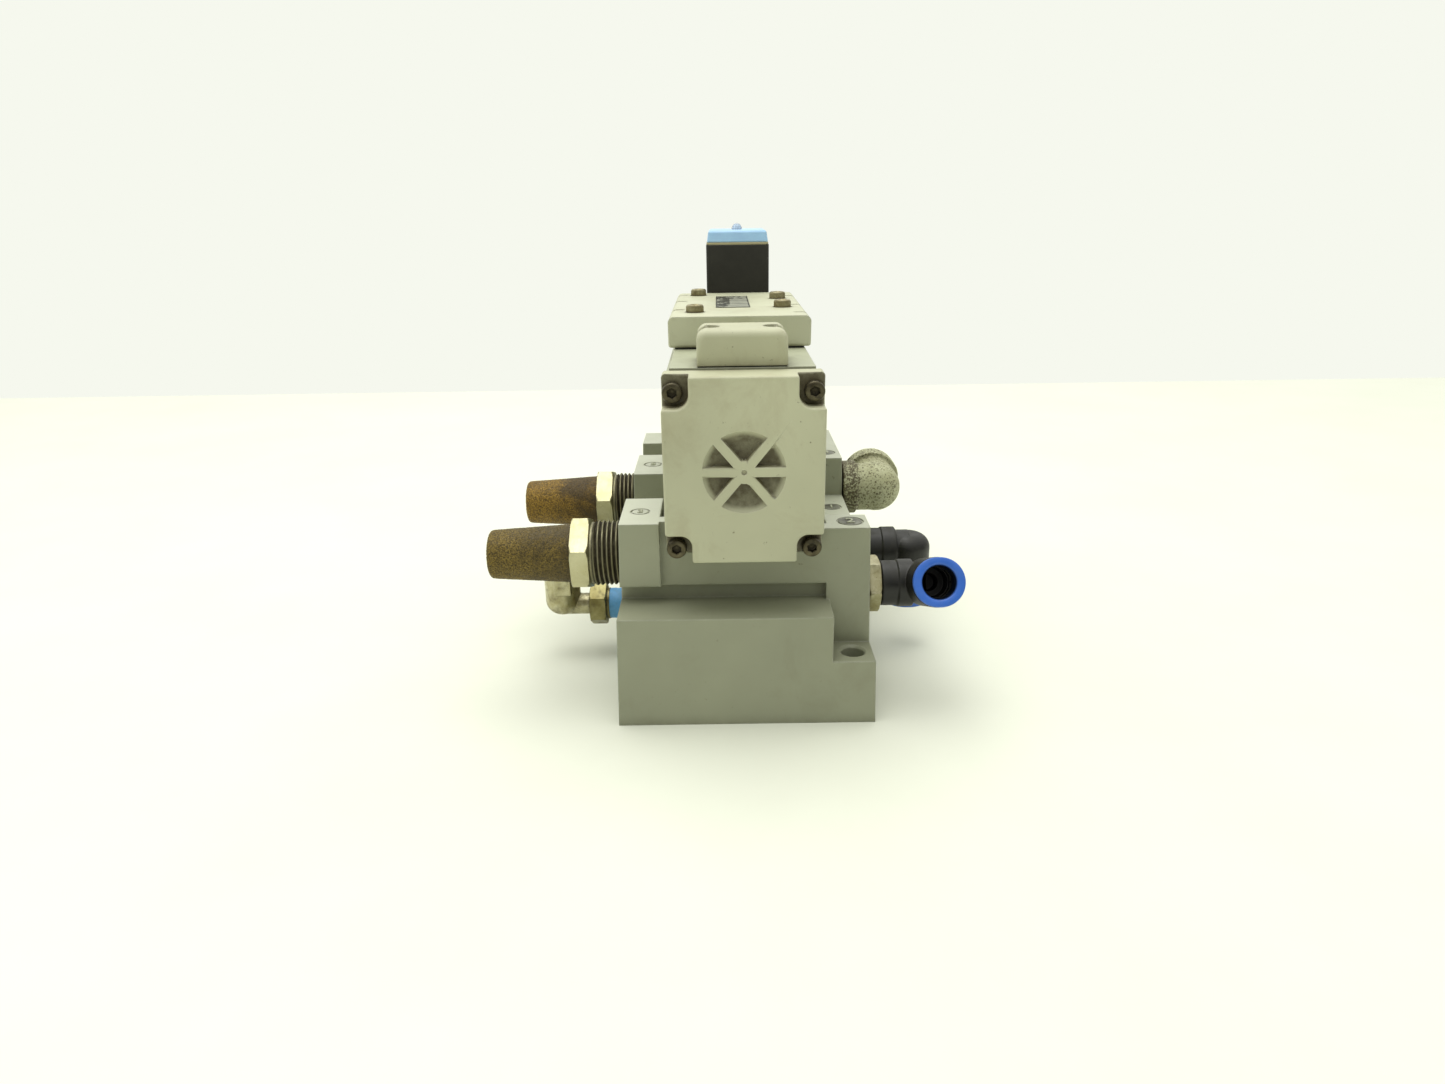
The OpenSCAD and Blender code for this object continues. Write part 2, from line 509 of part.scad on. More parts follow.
module coil() placed() color([0.10, 0.10, 0.09]) difference() {
    union() {
        translate([0, 0, body_top + 0.4]) linear_extrude(coil_top - body_top - 0.4) polygon(rounded(coil_x - coil_w / 2,
            coil_y - coil_w / 2, coil_x + coil_w / 2, coil_y + coil_w / 2, 1.2));
        prism_y([coil_y + coil_w / 2 - 1, plug_face], rounded(coil_x - 11.5, 140.5, coil_x + 11.5, 166.5, 1.5));
    }
    translate([coil_x, coil_y, 100]) cylinder(h = 100, r = 5.12);
    rod_y(coil_x, [plug_face - 8, plug_face + 1], plug_screw_z, 1.25);
    for (b = blades) blade(b, 0.08);
}
module blade(b, grow = 0) block([coil_x + b[0] - b[2] / 2 - grow, coil_x + b[0] + b[2] / 2 + grow],
    [plug_face - 6 - grow, plug_face + 9 + grow], [b[1] - b[3] / 2 - grow, b[1] + b[3] / 2 + grow]);
module coil_terminals() placed() color([0.80, 0.80, 0.78])
    for (b = blades) blade(b);
module cap_gasket() placed() color([0.80, 0.78, 0.66]) difference() {
    translate([0, 0, coil_top]) linear_extrude(1.2) polygon(rounded(coil_x - 15.3, coil_y - 15.3, coil_x + 15.3, coil_y + 15.3, 2));
    translate([coil_x, coil_y, coil_top - 1]) cylinder(h = 4, r = 5.2);
}
module coil_nut() placed() color([0.75, 0.75, 0.72]) translate([coil_x, coil_y, coil_top + 1.5]) difference() {
    hex_nut(13, 3.2);
    translate([0, 0, -1]) cylinder(h = 6, r = 4.03);
}
module coil_cap() placed() color([0.10, 0.30, 0.85]) {
    low = coil_top + 1.2;
    high = 178.6;
    difference() {
        intersection() {
            prism_y([coil_y - 20, coil_y + 20], concat([[coil_x - 15.1, low], [coil_x + 15.1, low]],
                arc(coil_x + 14.5 - 1.8, high - 1.8, 1.8, 0, 90), arc(coil_x - 14.5 + 1.8, high - 1.8, 1.8, 90, 180)));
            prism_x([coil_x - 20, coil_x + 20], concat([[coil_y - 15.1, low], [coil_y + 15.1, low]],
                arc(coil_y + 14.5 - 1.8, high - 1.8, 1.8, 0, 90), arc(coil_y - 14.5 + 1.8, high - 1.8, 1.8, 90, 180)));
        }
        translate([coil_x, coil_y, low - 1]) cylinder(h = 5.4, r = 8.4);
        translate([coil_x, coil_y, low]) cylinder(h = 20, r = 2.15);
    }
}
module indicator_lens() placed() color([0.80, 0.84, 0.90, 0.7]) translate([coil_x, coil_y, 0])
    turned(concat([[0, 177.4], [2.1, 177.4], [2.1, 178.65], [2.6, 178.65]], [for (a = [10:16:90]) [2.6 * cos(a), 178.7 + 2.9 * sin(a)]]));

// ---------- mufflers ----------
module at_muffler(i) placed() translate([-muffler_reach[i], muffler_y[i], muffler_z]) rotate([0, -90, 0]) children();
module muffler_body(i) at_muffler(i) color([0.72, 0.69, 0.56]) difference() {
    union() {
        hex_nut(muffler_af, 7.6);
        thread_bar(-23, 0.3, 13.15, thread_pitch);
    }
    translate([0, 0, -30]) cylinder(h = 40, r = 8);
    translate([0, 0, 1.5]) cylinder(h = 10, r = 10.6);
}
module muffler_cone(i) at_muffler(i) color([0.50, 0.36, 0.18])
    turned(concat([[0, 5], [7.6, 5], [7.6, 1.6], [10.55, 1.6], [10.55, 7.65], [11.8, 7.65]],
        arc(9.75 - 1.3, 7.6 + cone_l - 1.3, 1.3, 0, 90, 4), [[0, 7.6 + cone_l]]));
module front_muffler_body() muffler_body(0);
module front_muffler_cone() muffler_cone(0);
module rear_muffler_body() muffler_body(1);
module rear_muffler_cone() muffler_cone(1);

// ---------- push-in elbows ----------
// Everything in a leg is drawn along +Z from the leg's root on the swivel axis.
module leg_outer(r, back, length) turned(concat([[0, -back]],
    arc(r - back * 0.9, -back + back * 0.9, back * 0.9, 270, 360), [[r, length - 0.5], [r - 0.5, length], [0, length]]));
module leg_inner(tube_r, cavity_r, cavity_z) turned([[0, 5], [tube_r + 0.1, 5], [tube_r + 0.1, cavity_z],
    [cavity_r, cavity_z], [cavity_r, 60], [0, 60]]);
module tube_seal(tube_r, cavity_r, z) translate([0, 0, z + 0.2]) ring(tube_r + 0.4, cavity_r - 0.06, 2.2);
module grip_ring(tube_r, cavity_r, z) translate([0, 0, z + 3]) difference() {
    ring(tube_r + 0.4, cavity_r - 0.06, 1.1);
    for (a = [0:45:315]) rotate([0, 0, a]) translate([0, -0.25, -1]) cube([tube_r + 1.4, 0.5, 4]);
}
module release_ring(tube_r, cavity_r, z, length, flange_r, oval) difference() {
    union() {
        translate([0, 0, z + 5.9]) cylinder(h = length - z - 6, r = cavity_r - 0.6);
        for (s = [-1, 1]) translate([s * oval, 0, length - 2]) turned([[0, 0], [flange_r, 0], [flange_r, 1.4],
            [flange_r - 0.6, 2], [0, 2]]);
    }
    translate([0, 0, -1]) cylinder(h = length + 3, r = tube_r + 0.3);
    translate([0, 0, length - 0.9]) turned([[0, 0], [tube_r + 0.3, 0], [tube_r + 1.3, 1], [0, 1]]);
}
big_tube = tube_d / 2;
big_cavity = big_tube + 2.6;
big_z = 11;
// frame that turns with an elbow, whose swivel axis is its X axis
module swivel(i) placed() translate([0, tube_y[i], tube_z]) rotate([i == 0 ? 90 - front_lean : 180, 0, 0]) children();
module big_leg(i) swivel(i) translate([leg_x, 0, 0]) children();
module stud(i) placed() translate([0, tube_y[i], tube_z]) color([0.74, 0.71, 0.58]) difference() {
    union() {
        translate([49.1, 0, 0]) rotate([0, 90, 0]) rotate([0, 0, 90]) hex_nut(20, 5.1);
        translate([36.5, 0, 0]) rotate([0, 90, 0]) thread_bar(0, 11.5, 8.25, 1.337);
        rod_x([53, 65], 0, 0, 5.5);
    }
    rod_x([30, 70], 0, 0, 3.6);
}
module big_elbow(i) swivel(i) color([0.12, 0.12, 0.11]) difference() {
    union() {
        rotate([0, 90, 0]) turned([[0, 54.5], [8.7, 54.5], [9.1, 54.9], [9.1, 61], [9.6, 61.4], [9.6, 67.2],
            [9.3, 67.5], [8.2, 67.5], [8.2, leg_x], [0, leg_x]]);
        translate([leg_x, 0, 0]) leg_outer(leg_r, leg_back, leg_l - 2 - release_travel - 0.3);
    }
    translate([leg_x, 0, 0]) leg_inner(big_tube, big_cavity, big_z);
    rod_x([50, 65.3], 0, 0, 5.56);
    rod_x([60, leg_x], 0, 0, 3.6);
    translate([leg_x, 0, -1]) cylinder(h = 7, r = 3.5);
}
module front_stud() stud(0);
module front_elbow() big_elbow(0);
module front_tube_seal() big_leg(0) color([0.08, 0.08, 0.08]) tube_seal(big_tube, big_cavity, big_z);
module front_grip_ring() big_leg(0) color([0.75, 0.75, 0.72]) grip_ring(big_tube, big_cavity, big_z);
module front_release() big_leg(0) color([0.10, 0.25, 0.70]) release_ring(big_tube, big_cavity, big_z, leg_l, 9.55, 0.45);
module rear_stud() stud(1);
module rear_elbow() big_elbow(1);
module rear_tube_seal() big_leg(1) color([0.08, 0.08, 0.08]) tube_seal(big_tube, big_cavity, big_z);
module rear_grip_ring() big_leg(1) color([0.75, 0.75, 0.72]) grip_ring(big_tube, big_cavity, big_z);
module rear_release() big_leg(1) color([0.10, 0.25, 0.70]) release_ring(big_tube, big_cavity, big_z, leg_l, 9.55, 0.45);

// ---------- nickel elbow on the left ----------
small_tube = small_tube_d / 2;
small_cavity = small_tube + 2.1;
small_z = 8;
module small_leg() placed() translate([-small_leg_x, nickel_y, nickel_z]) children();
module nickel_stud() placed() translate([0, nickel_y, nickel_z]) color([0.60, 0.58, 0.44]) difference() {
    union() {
        translate([-60.2, 0, 0]) rotate([0, -90, 0]) hex_nut(17, 7.3);
        rod_x([-60.3, -59.1], 0, 0, 7);
        translate([-38, 0, 0]) rotate([0, -90, 0]) thread_bar(0, 21.2, 6.45, 1.337);
        rod_x([-76, -67], 0, 0, 3.2);
    }
    rod_x([-80, -30], 0, 0, 2.2);
}
module thread_sealant() placed() translate([-59.1, nickel_y, nickel_z]) rotate([0, 90, 0]) color([0.20, 0.48, 0.75])
    difference() {
        turned([[0, 0.02], [6.75, 0.02], [6.9, 1.2], [6.7, 2.5], [6.85, 3.8], [6.65, 5.4], [6.7, 7.5], [6.6, 9.2], [0, 9.2]]);
        translate([0, 0, -1]) cylinder(h = 12, r = 6.47);
    }
module nickel_elbow() color([0.78, 0.78, 0.68]) difference() {
    union() {
        placed() rod_x([-small_leg_x, -67.8], nickel_y, nickel_z, 4.7);
        small_leg() turned(concat([[0, -small_back]], arc(small_leg_r - 6.4, 6.4 - small_back, 6.4, 270, 360),
            [[small_leg_r, small_leg_l - 3.9], [small_leg_r - 0.5, small_leg_l - 3.4], [0, small_leg_l - 3.4]]));
        placed() block([-82.4, -75.1], [57.9, 62], [30.6, 38]);
    }
    small_leg() leg_inner(small_tube, small_cavity, small_z);
    placed() rod_x([-76.3, -60], nickel_y, nickel_z, 3.26);
    placed() rod_x([-small_leg_x, -70], nickel_y, nickel_z, 2.2);
    small_leg() cylinder(h = 6, r = 2.2);
}
module nickel_tube_seal() small_leg() color([0.08, 0.08, 0.08]) tube_seal(small_tube, small_cavity, small_z);
module nickel_grip_ring() small_leg() color([0.75, 0.75, 0.72]) grip_ring(small_tube, small_cavity, small_z);
module nickel_release() small_leg() color([0.70, 0.70, 0.66]) difference() {
    union() {
        translate([0, 0, small_z + 5.9]) cylinder(h = small_leg_l - small_z - 6, r = small_cavity - 0.5);
        translate([0, 0, small_leg_l - 1.6]) cylinder(h = 1.6, r = 7);
    }
    translate([0, 0, -1]) cylinder(h = 40, r = small_tube + 0.3);
}

// ---------- iron elbow on the right ----------
module iron_nipple() placed() color([0.45, 0.44, 0.38]) translate([36.3, iron_y, iron_z]) rotate([0, 90, 0]) difference() {
    thread_bar(0, 20, 8.3, 1.337);
    translate([0, 0, -1]) cylinder(h = 30, r = 6);
}
module iron_elbow() placed() color([0.66, 0.67, 0.55]) difference() {
    union() {
        rod_x([49, 55.9], iron_y, iron_z, 12.65);
        rod_x([50, iron_leg_x], iron_y, iron_z, iron_r - 0.3);
        translate([iron_leg_x, iron_y, iron_z]) sphere(r = iron_r);
        rod_y(iron_leg_x, [iron_y, 138], iron_z, iron_r - 0.3);
        rod_y(iron_leg_x, [131, 140], iron_z, 13.5);
    }
    rod_x([48, 57], iron_y, iron_z, 8.36);
    rod_x([48, iron_leg_x], iron_y, iron_z, 6.5);
    rod_y(iron_leg_x, [iron_y, 150], iron_z, 6.5);
    rod_y(iron_leg_x, [128, 150], iron_z, 7.5);
}

sub_base();
base_gasket();
hold_down_screws();
valve_body();
seal_cages();
spool_seals();
stem_bush();
spool();
return_spring();
pilot_piston();
piston_seal();
front_end_cover();
front_cover_gasket();
front_cover_screws();
pilot_end_cover();
pilot_cover_gasket();
pilot_cover_screws();
override_button();
override_seal();
override_spring();
blanking_cap();
blanking_cap_gasket();
blanking_cap_screws();
top_cover();
top_cover_gasket();
top_cover_screws();
label_plate();
armature_tube();
plunger();
plunger_seal();
plunger_spring();
coil();
coil_terminals();
cap_gasket();
coil_nut();
coil_cap();
indicator_lens();
front_muffler_body();
front_muffler_cone();
rear_muffler_body();
rear_muffler_cone();
nickel_stud();
thread_sealant();
nickel_elbow();
nickel_tube_seal();
nickel_grip_ring();
nickel_release();
iron_nipple();
iron_elbow();
front_stud();
front_elbow();
front_tube_seal();
front_grip_ring();
front_release();
rear_stud();
rear_elbow();
rear_tube_seal();
rear_grip_ring();
rear_release();
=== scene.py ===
"""Solenoid valve on its sub-base, with two sintered exhaust mufflers and pipe fittings.

Looks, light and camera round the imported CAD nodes.
"""

import json
import math
from math import cos, pi, radians, sin

import bmesh
import bpy
from mathutils import Matrix, Vector, noise


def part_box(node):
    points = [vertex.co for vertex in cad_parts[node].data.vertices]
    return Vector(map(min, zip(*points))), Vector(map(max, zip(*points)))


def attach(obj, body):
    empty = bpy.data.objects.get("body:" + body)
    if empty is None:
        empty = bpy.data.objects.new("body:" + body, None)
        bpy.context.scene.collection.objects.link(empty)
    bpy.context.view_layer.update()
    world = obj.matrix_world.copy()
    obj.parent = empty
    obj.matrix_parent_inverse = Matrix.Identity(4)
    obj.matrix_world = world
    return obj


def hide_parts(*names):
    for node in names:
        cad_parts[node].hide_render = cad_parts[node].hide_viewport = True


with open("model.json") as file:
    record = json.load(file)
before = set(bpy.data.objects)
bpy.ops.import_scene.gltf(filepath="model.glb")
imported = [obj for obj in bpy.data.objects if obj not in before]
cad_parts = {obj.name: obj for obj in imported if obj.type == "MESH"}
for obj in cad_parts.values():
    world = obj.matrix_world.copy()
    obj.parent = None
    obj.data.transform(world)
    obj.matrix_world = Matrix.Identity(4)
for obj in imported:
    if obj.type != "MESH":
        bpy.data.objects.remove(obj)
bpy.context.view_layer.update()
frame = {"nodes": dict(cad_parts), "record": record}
NODES = frame["nodes"]
MM = 0.001


def lin(r, g, b):
    """sRGB 0-255 to a linear colour with alpha."""

    def one(c):
        return c / 255 / 12.92 if c <= 10 else ((c / 255 + 0.055) / 1.055) ** 2.4

    return (one(r), one(g), one(b), 1.0)


def scaled(colour, factor):
    """A lighter or darker copy of a linear colour."""
    return tuple(min(1, c * factor) for c in colour[:3]) + (1,)


# ---------------------------------------------------------------- materials


class Tree:
    """A short way to write a material's nodes."""

    def __init__(self, name):
        self.mat = bpy.data.materials.new(name)
        self.mat.use_nodes = True
        self.t = self.mat.node_tree
        self.t.nodes.clear()
        self.out = self.t.nodes.new("ShaderNodeOutputMaterial")
        self.bsdf = self.t.nodes.new("ShaderNodeBsdfPrincipled")
        self.t.links.new(self.bsdf.outputs[0], self.out.inputs[0])
        self.pos = self.t.nodes.new("ShaderNodeTexCoord").outputs["Object"]

    def put(self, socket, value):
        if isinstance(value, bpy.types.NodeSocket):
            self.t.links.new(value, socket)
        else:
            socket.default_value = value

    def set(self, **values):
        for name, value in values.items():
            self.put(self.bsdf.inputs[name.replace("_", " ")], value)

    def stretched(self, x, y, z):
        n = self.t.nodes.new("ShaderNodeMapping")
        self.put(n.inputs[0], self.pos)
        n.inputs["Scale"].default_value = (x, y, z)
        return n.outputs[0]

    def noise(self, size, detail=3.0, rough=0.5, distortion=0.0, at=None, seed=0.0):
        """Noise whose blobs are about size millimetres across."""
        n = self.t.nodes.new("ShaderNodeTexNoise")
        n.noise_dimensions = "4D"
        self.put(n.inputs["Vector"], at or self.pos)
        n.inputs["W"].default_value = seed
        n.inputs["Scale"].default_value = 1000 / size / 2
        n.inputs["Detail"].default_value = detail
        n.inputs["Roughness"].default_value = rough
        n.inputs["Distortion"].default_value = distortion
        return n.outputs[0]

    def cells(self, size, out="Distance"):
        n = self.t.nodes.new("ShaderNodeTexVoronoi")
        n.feature = "F1"
        self.put(n.inputs["Vector"], self.pos)
        n.inputs["Scale"].default_value = 1000 / size
        return n.outputs[out]

    def span(self, value, a, b, c=0.0, d=1.0):
        """value from a..b to c..d, clamped."""
        n = self.t.nodes.new("ShaderNodeMapRange")
        self.put(n.inputs["Value"], value)
        for name, v in (("From Min", a), ("From Max", b), ("To Min", c), ("To Max", d)):
            n.inputs[name].default_value = v
        return n.outputs[0]

    def calc(self, op, a, b=0.0):
        n = self.t.nodes.new("ShaderNodeMath")
        n.operation = op
        self.put(n.inputs[0], a)
        self.put(n.inputs[1], b)
        return n.outputs[0]

    def mix(self, fac, a, b, mode="MIX"):
        n = self.t.nodes.new("ShaderNodeMix")
        n.data_type = "RGBA"
        n.blend_type = mode
        self.put(n.inputs[0], fac)
        self.put(n.inputs[6], a)
        self.put(n.inputs[7], b)
        return n.outputs[2]

    def crevice(self, distance, low=0.35, high=0.95):
        """1 deep in corners and hollows, where shade falls, 0 in the open: the mask for painted shade,
        which most looks mix with dirt or stains.
        """
        n = self.t.nodes.new("ShaderNodeAmbientOcclusion")
        n.samples = 6
        n.inputs["Distance"].default_value = distance * MM
        return self.span(n.outputs["AO"], high, low)

    def edges(self, radius, low=0.02, high=0.2):
        """1 on an edge, 0 on a flat: the mask for edge wear, and for painted highlights on the castings'
        edges.
        """
        n = self.t.nodes.new("ShaderNodeBevel")
        n.samples = 4
        n.inputs["Radius"].default_value = radius * MM
        g = self.t.nodes.new("ShaderNodeNewGeometry")
        d = self.t.nodes.new("ShaderNodeVectorMath")
        d.operation = "DOT_PRODUCT"
        self.t.links.new(n.outputs[0], d.inputs[0])
        self.t.links.new(g.outputs["Normal"], d.inputs[1])
        return self.span(d.outputs["Value"], 1 - low, 1 - high)

    def upward(self, low=0.5, high=0.95):
        g = self.t.nodes.new("ShaderNodeNewGeometry")
        s = self.t.nodes.new("ShaderNodeSeparateXYZ")
        self.t.links.new(g.outputs["Normal"], s.inputs[0])
        return self.span(s.outputs[2], low, high)

    def at(self, x, y, z, radius, soft=0.15):
        """1 inside a ball round a point, all in millimetres."""
        n = self.t.nodes.new("ShaderNodeVectorMath")
        n.operation = "DISTANCE"
        self.put(n.inputs[0], self.pos)
        n.inputs[1].default_value = (x * MM, y * MM, z * MM)
        return self.span(n.outputs["Value"], (radius + soft) * MM, radius * MM)

    def facing(self, axis, low=0.6, high=0.9):
        """1 where the surface faces along an axis."""
        g = self.t.nodes.new("ShaderNodeNewGeometry")
        d = self.t.nodes.new("ShaderNodeVectorMath")
        d.operation = "DOT_PRODUCT"
        self.t.links.new(g.outputs["Normal"], d.inputs[0])
        d.inputs[1].default_value = axis
        return self.span(d.outputs["Value"], low, high)

    def named(self, name):
        """A number stored on the mesh, 0 where there is none."""
        n = self.t.nodes.new("ShaderNodeAttribute")
        n.attribute_name = name
        return n.outputs["Fac"]

    def place(self, k):
        s = self.t.nodes.new("ShaderNodeSeparateXYZ")
        self.put(s.inputs[0], self.pos)
        return s.outputs[k]

    def bump(self, height, strength, distance, rounding=0.0):
        n = self.t.nodes.new("ShaderNodeBump")
        if rounding:
            r = self.t.nodes.new("ShaderNodeBevel")
            r.samples = 6
            r.inputs["Radius"].default_value = rounding * MM
            self.t.links.new(r.outputs[0], n.inputs["Normal"])
        n.inputs["Strength"].default_value = strength
        n.inputs["Distance"].default_value = distance * MM
        self.put(n.inputs["Height"], height)
        self.t.links.new(n.outputs[0], self.bsdf.inputs["Normal"])


def painted(name, colour, grime_and_shade, amount=0.5, corner=0.7, reach=6, specks=0.5, rough=0.5, peel=0.25,
            edge=None, wear_and_highlight=0.5, soil_and_shade=None, rounding=0.6, dust=None):
    """Enamel on a casting: slow colour change, grime, and grime with painted shade in corners, dark
    specks, edge wear lightened further as painted highlights, dust on high upward faces that also paints
    top light, orange peel.
    """
    m = Tree(name)
    slow = m.noise(28, 4, 0.55)
    base = m.mix(m.span(slow, 0.3, 0.7), scaled(colour, 0.9), scaled(colour, 1.08))
    patch = m.calc("MULTIPLY", m.span(m.noise(14, 8, 0.68, 0.6, seed=3), 0.52, 0.72), amount)
    base = m.mix(patch, base, grime_and_shade)
    # painted shade: the occlusion mask darkens corners towards a darker grime colour, part dirt, part
    # shade where light does not reach
    dirt_and_shade = m.calc("MULTIPLY", m.crevice(reach), m.span(m.noise(5, 6, 0.7, seed=5), 0.3, 0.62, 0.25, 1))
    base = m.mix(m.calc("MULTIPLY", dirt_and_shade, corner), base, scaled(grime_and_shade, 0.55))
    # dust on the high upward faces, laid on lighter also as painted top light
    if dust:
        high = m.calc("MULTIPLY", m.upward(), m.span(m.place(2), 0.055, 0.058))
        base = m.mix(m.calc("MULTIPLY", high, m.span(slow, 0.3, 0.7, 0.45, 0.7)), base, dust)
    # grime in the port marks; brown grime with painted shade in the front cover's recesses
    if soil_and_shade:
        mask, soil_and_shade_tone = soil_and_shade(m)
        blotches = m.span(m.noise(3, 6, 0.7, seed=7), 0.25, 0.6, 0.45, 1)
        base = m.mix(m.calc("MULTIPLY", mask, blotches), base, soil_and_shade_tone)
    dots = m.span(m.noise(0.9, 2, 0.6, seed=8), 0.69, 0.76)
    dots = m.calc("MULTIPLY", dots, m.span(m.noise(20, 3, 0.6, seed=9), 0.42, 0.6))
    base = m.mix(m.calc("MULTIPLY", dots, specks), base, scaled(grime_and_shade, 0.35))
    # edge wear, lightened further as painted highlights where the rounded edges catch light
    if edge:
        chips_and_highlight = m.span(m.noise(4, 5, 0.7, seed=11), 0.36, 0.6, 0.1, wear_and_highlight)
        base = m.mix(m.calc("MULTIPLY", m.edges(max(0.7, rounding)), chips_and_highlight), base, edge)
    gloss = m.span(m.noise(6, 5, 0.6, seed=2), 0.3, 0.7, rough - 0.1, rough + 0.12)
    m.set(Base_Color=base, Roughness=gloss)
    waves = m.calc("MULTIPLY", m.noise(5, 3, 0.5, seed=4), 1.2)
    m.bump(m.calc("ADD", m.noise(0.9, 3, 0.5), waves), peel, 0.08, rounding)
    return m.mat


def metal(name, light, dark, stain_and_shade, stained=0.5, corner=0.8, reach=3, rough=0.3, grain=0.2, blob=6,
          metallic=1.0, lines=None, oily=False):
    """Bare or plated metal: two tones, stains in patches, stains and painted shade in corners, fine grain
    or turning lines.
    """
    m = Tree(name)
    base = m.mix(m.span(m.noise(blob, 5, 0.6), 0.35, 0.65), light, dark)
    patch = m.span(m.noise(blob * 0.7, 7, 0.7, 0.4, seed=3), 0.5, 0.66)
    # painted shade: the occlusion mask darkens corners with the stain colour and dulls them
    corners = m.calc("MULTIPLY", m.crevice(reach), corner)
    stains_and_corner_shade = m.calc("MAXIMUM", m.calc("MULTIPLY", patch, stained), corners)
    if oily:
        film = m.span(m.noise(2, 6, 0.7, seed=9), 0.3, 0.5, 0.75, 0.98)
        stains_and_corner_shade = m.calc("MAXIMUM", stains_and_corner_shade, m.calc("MULTIPLY", m.named("oily"), film))
    base = m.mix(stains_and_corner_shade, base, stain_and_shade)
    at = m.stretched(*lines) if lines else None
    fine = m.noise(0.5, 3, 0.6, at=at, seed=6)
    dull = m.span(stains_and_corner_shade, 0, 1, rough, min(1, rough + 0.35))
    m.set(Base_Color=base, Metallic=m.span(stains_and_corner_shade, 0, 1, metallic, metallic * 0.25),
          Roughness=m.calc("ADD", dull, m.span(fine, 0.3, 0.7, -0.06, 0.06)))
    m.bump(fine, grain, 0.03)
    return m.mat


def moulded(name, colour, dust, dusty=0.3, rough=0.4, grain=0.15, size=0.6, edge=None, shade=None):
    """Moulded plastic or rubber, dusty where it faces up and in patches."""
    m = Tree(name)
    base = m.mix(m.span(m.noise(9, 4, 0.6), 0.3, 0.7), scaled(colour, 0.85), scaled(colour, 1.15))
    facing_up = m.span(m.upward(-0.2, 0.9), 0, 1, 0.35, 1)
    film = m.calc("MULTIPLY", m.span(m.noise(3, 7, 0.7, 0.5, seed=3), 0.45, 0.72), facing_up)
    base = m.mix(m.calc("MULTIPLY", film, dusty), base, dust)
    if edge:
        rub = m.span(m.noise(2.5, 4, 0.7, seed=7), 0.4, 0.65, 0, 0.6)
        base = m.mix(m.calc("MULTIPLY", m.edges(0.4), rub), base, edge)
    # painted shade in the bore and in hollows
    if shade:
        base = m.mix(m.calc("MAXIMUM", m.named("bore"), m.crevice(7, 0.3, 0.65)), base, shade)
    m.set(Base_Color=base, Roughness=m.span(film, 0, 1, rough, min(1, rough + 0.3)))
    m.bump(m.noise(size, 3, 0.55, seed=5), grain, 0.04, 0.3)
    return m.mat


def sintered(name, deep, mid, bright, soot_and_shade, sooty):
    """Bronze beads, each with its own tone; painted shade in the gaps between them; soot in patches and
    near the hexagon; soot and painted shade in crevices.
    """
    m = Tree(name)
    tone = m.t.nodes.new("ShaderNodeSeparateColor")
    m.t.links.new(m.cells(0.5, "Color"), tone.inputs[0])
    base = m.mix(m.span(tone.outputs[0], 0.0, 1.0), mid, bright)
    # painted shade in the gaps between beads
    base = m.mix(m.span(m.cells(0.5), 0.34, 0.75, 0, 0.8), base, deep)
    nearer = m.span(m.place(0), -0.086, -0.066, 0, 0.15)
    band = m.calc("ADD", m.noise(11, 5, 0.65, 0.5, seed=4), nearer)
    base = m.mix(m.calc("MULTIPLY", m.span(band, 0.45, 0.66), sooty), base, soot_and_shade)
    # soot and painted shade in crevices
    base = m.mix(m.calc("MULTIPLY", m.crevice(2.5), 0.7), base, soot_and_shade)
    m.set(Base_Color=base, Metallic=m.span(tone.outputs[1], 0, 1, 0.1, 0.35),
          Roughness=m.span(tone.outputs[2], 0, 1, 0.55, 0.8))
    m.bump(m.span(m.cells(0.5), 0, 0.6, 1, 0), 0.45, 0.08)
    return m.mat


def foil(name, box):
    """Plain foil with a dark header, dividing lines and rubbed-off patches; nothing is written on it."""
    m = Tree(name)
    lo, hi = box
    x, y = m.place(0), m.place(1)
    dx = m.calc("ABSOLUTE", m.calc("SUBTRACT", x, (lo.x + hi.x) / 2))
    dy = m.calc("ABSOLUTE", m.calc("SUBTRACT", y, (lo.y + hi.y) / 2))
    rim = m.calc("MAXIMUM", m.calc("GREATER_THAN", dx, (hi.x - lo.x) / 2 - 0.0006),
                 m.calc("GREATER_THAN", dy, (hi.y - lo.y) / 2 - 0.0008))
    head = m.calc("GREATER_THAN", y, hi.y - 0.013)
    rows = m.calc("LESS_THAN", m.calc("PINGPONG", m.calc("SUBTRACT", y, lo.y), 0.0034), 0.0008)
    left = m.calc("LESS_THAN", x, lo.x + 0.0062)
    cell = m.noise(5, 4, 0.8, seed=5)
    blocks = m.calc("MULTIPLY", m.calc("ADD", head, left), m.calc("GREATER_THAN", cell, 0.5))
    dark = m.calc("MAXIMUM", m.calc("MAXIMUM", rim, rows), blocks)
    wear = m.span(m.noise(2.2, 7, 0.72, seed=2), 0.46, 0.7)
    base = m.mix(dark, lin(176, 178, 162), lin(60, 60, 52))
    base = m.mix(m.calc("MULTIPLY", wear, 0.4), base, lin(150, 150, 130))
    m.set(Base_Color=base, Metallic=0.25, Roughness=m.span(wear, 0, 1, 0.35, 0.6))
    m.bump(m.noise(0.7, 3, 0.5), 0.1, 0.02)
    return m.mat


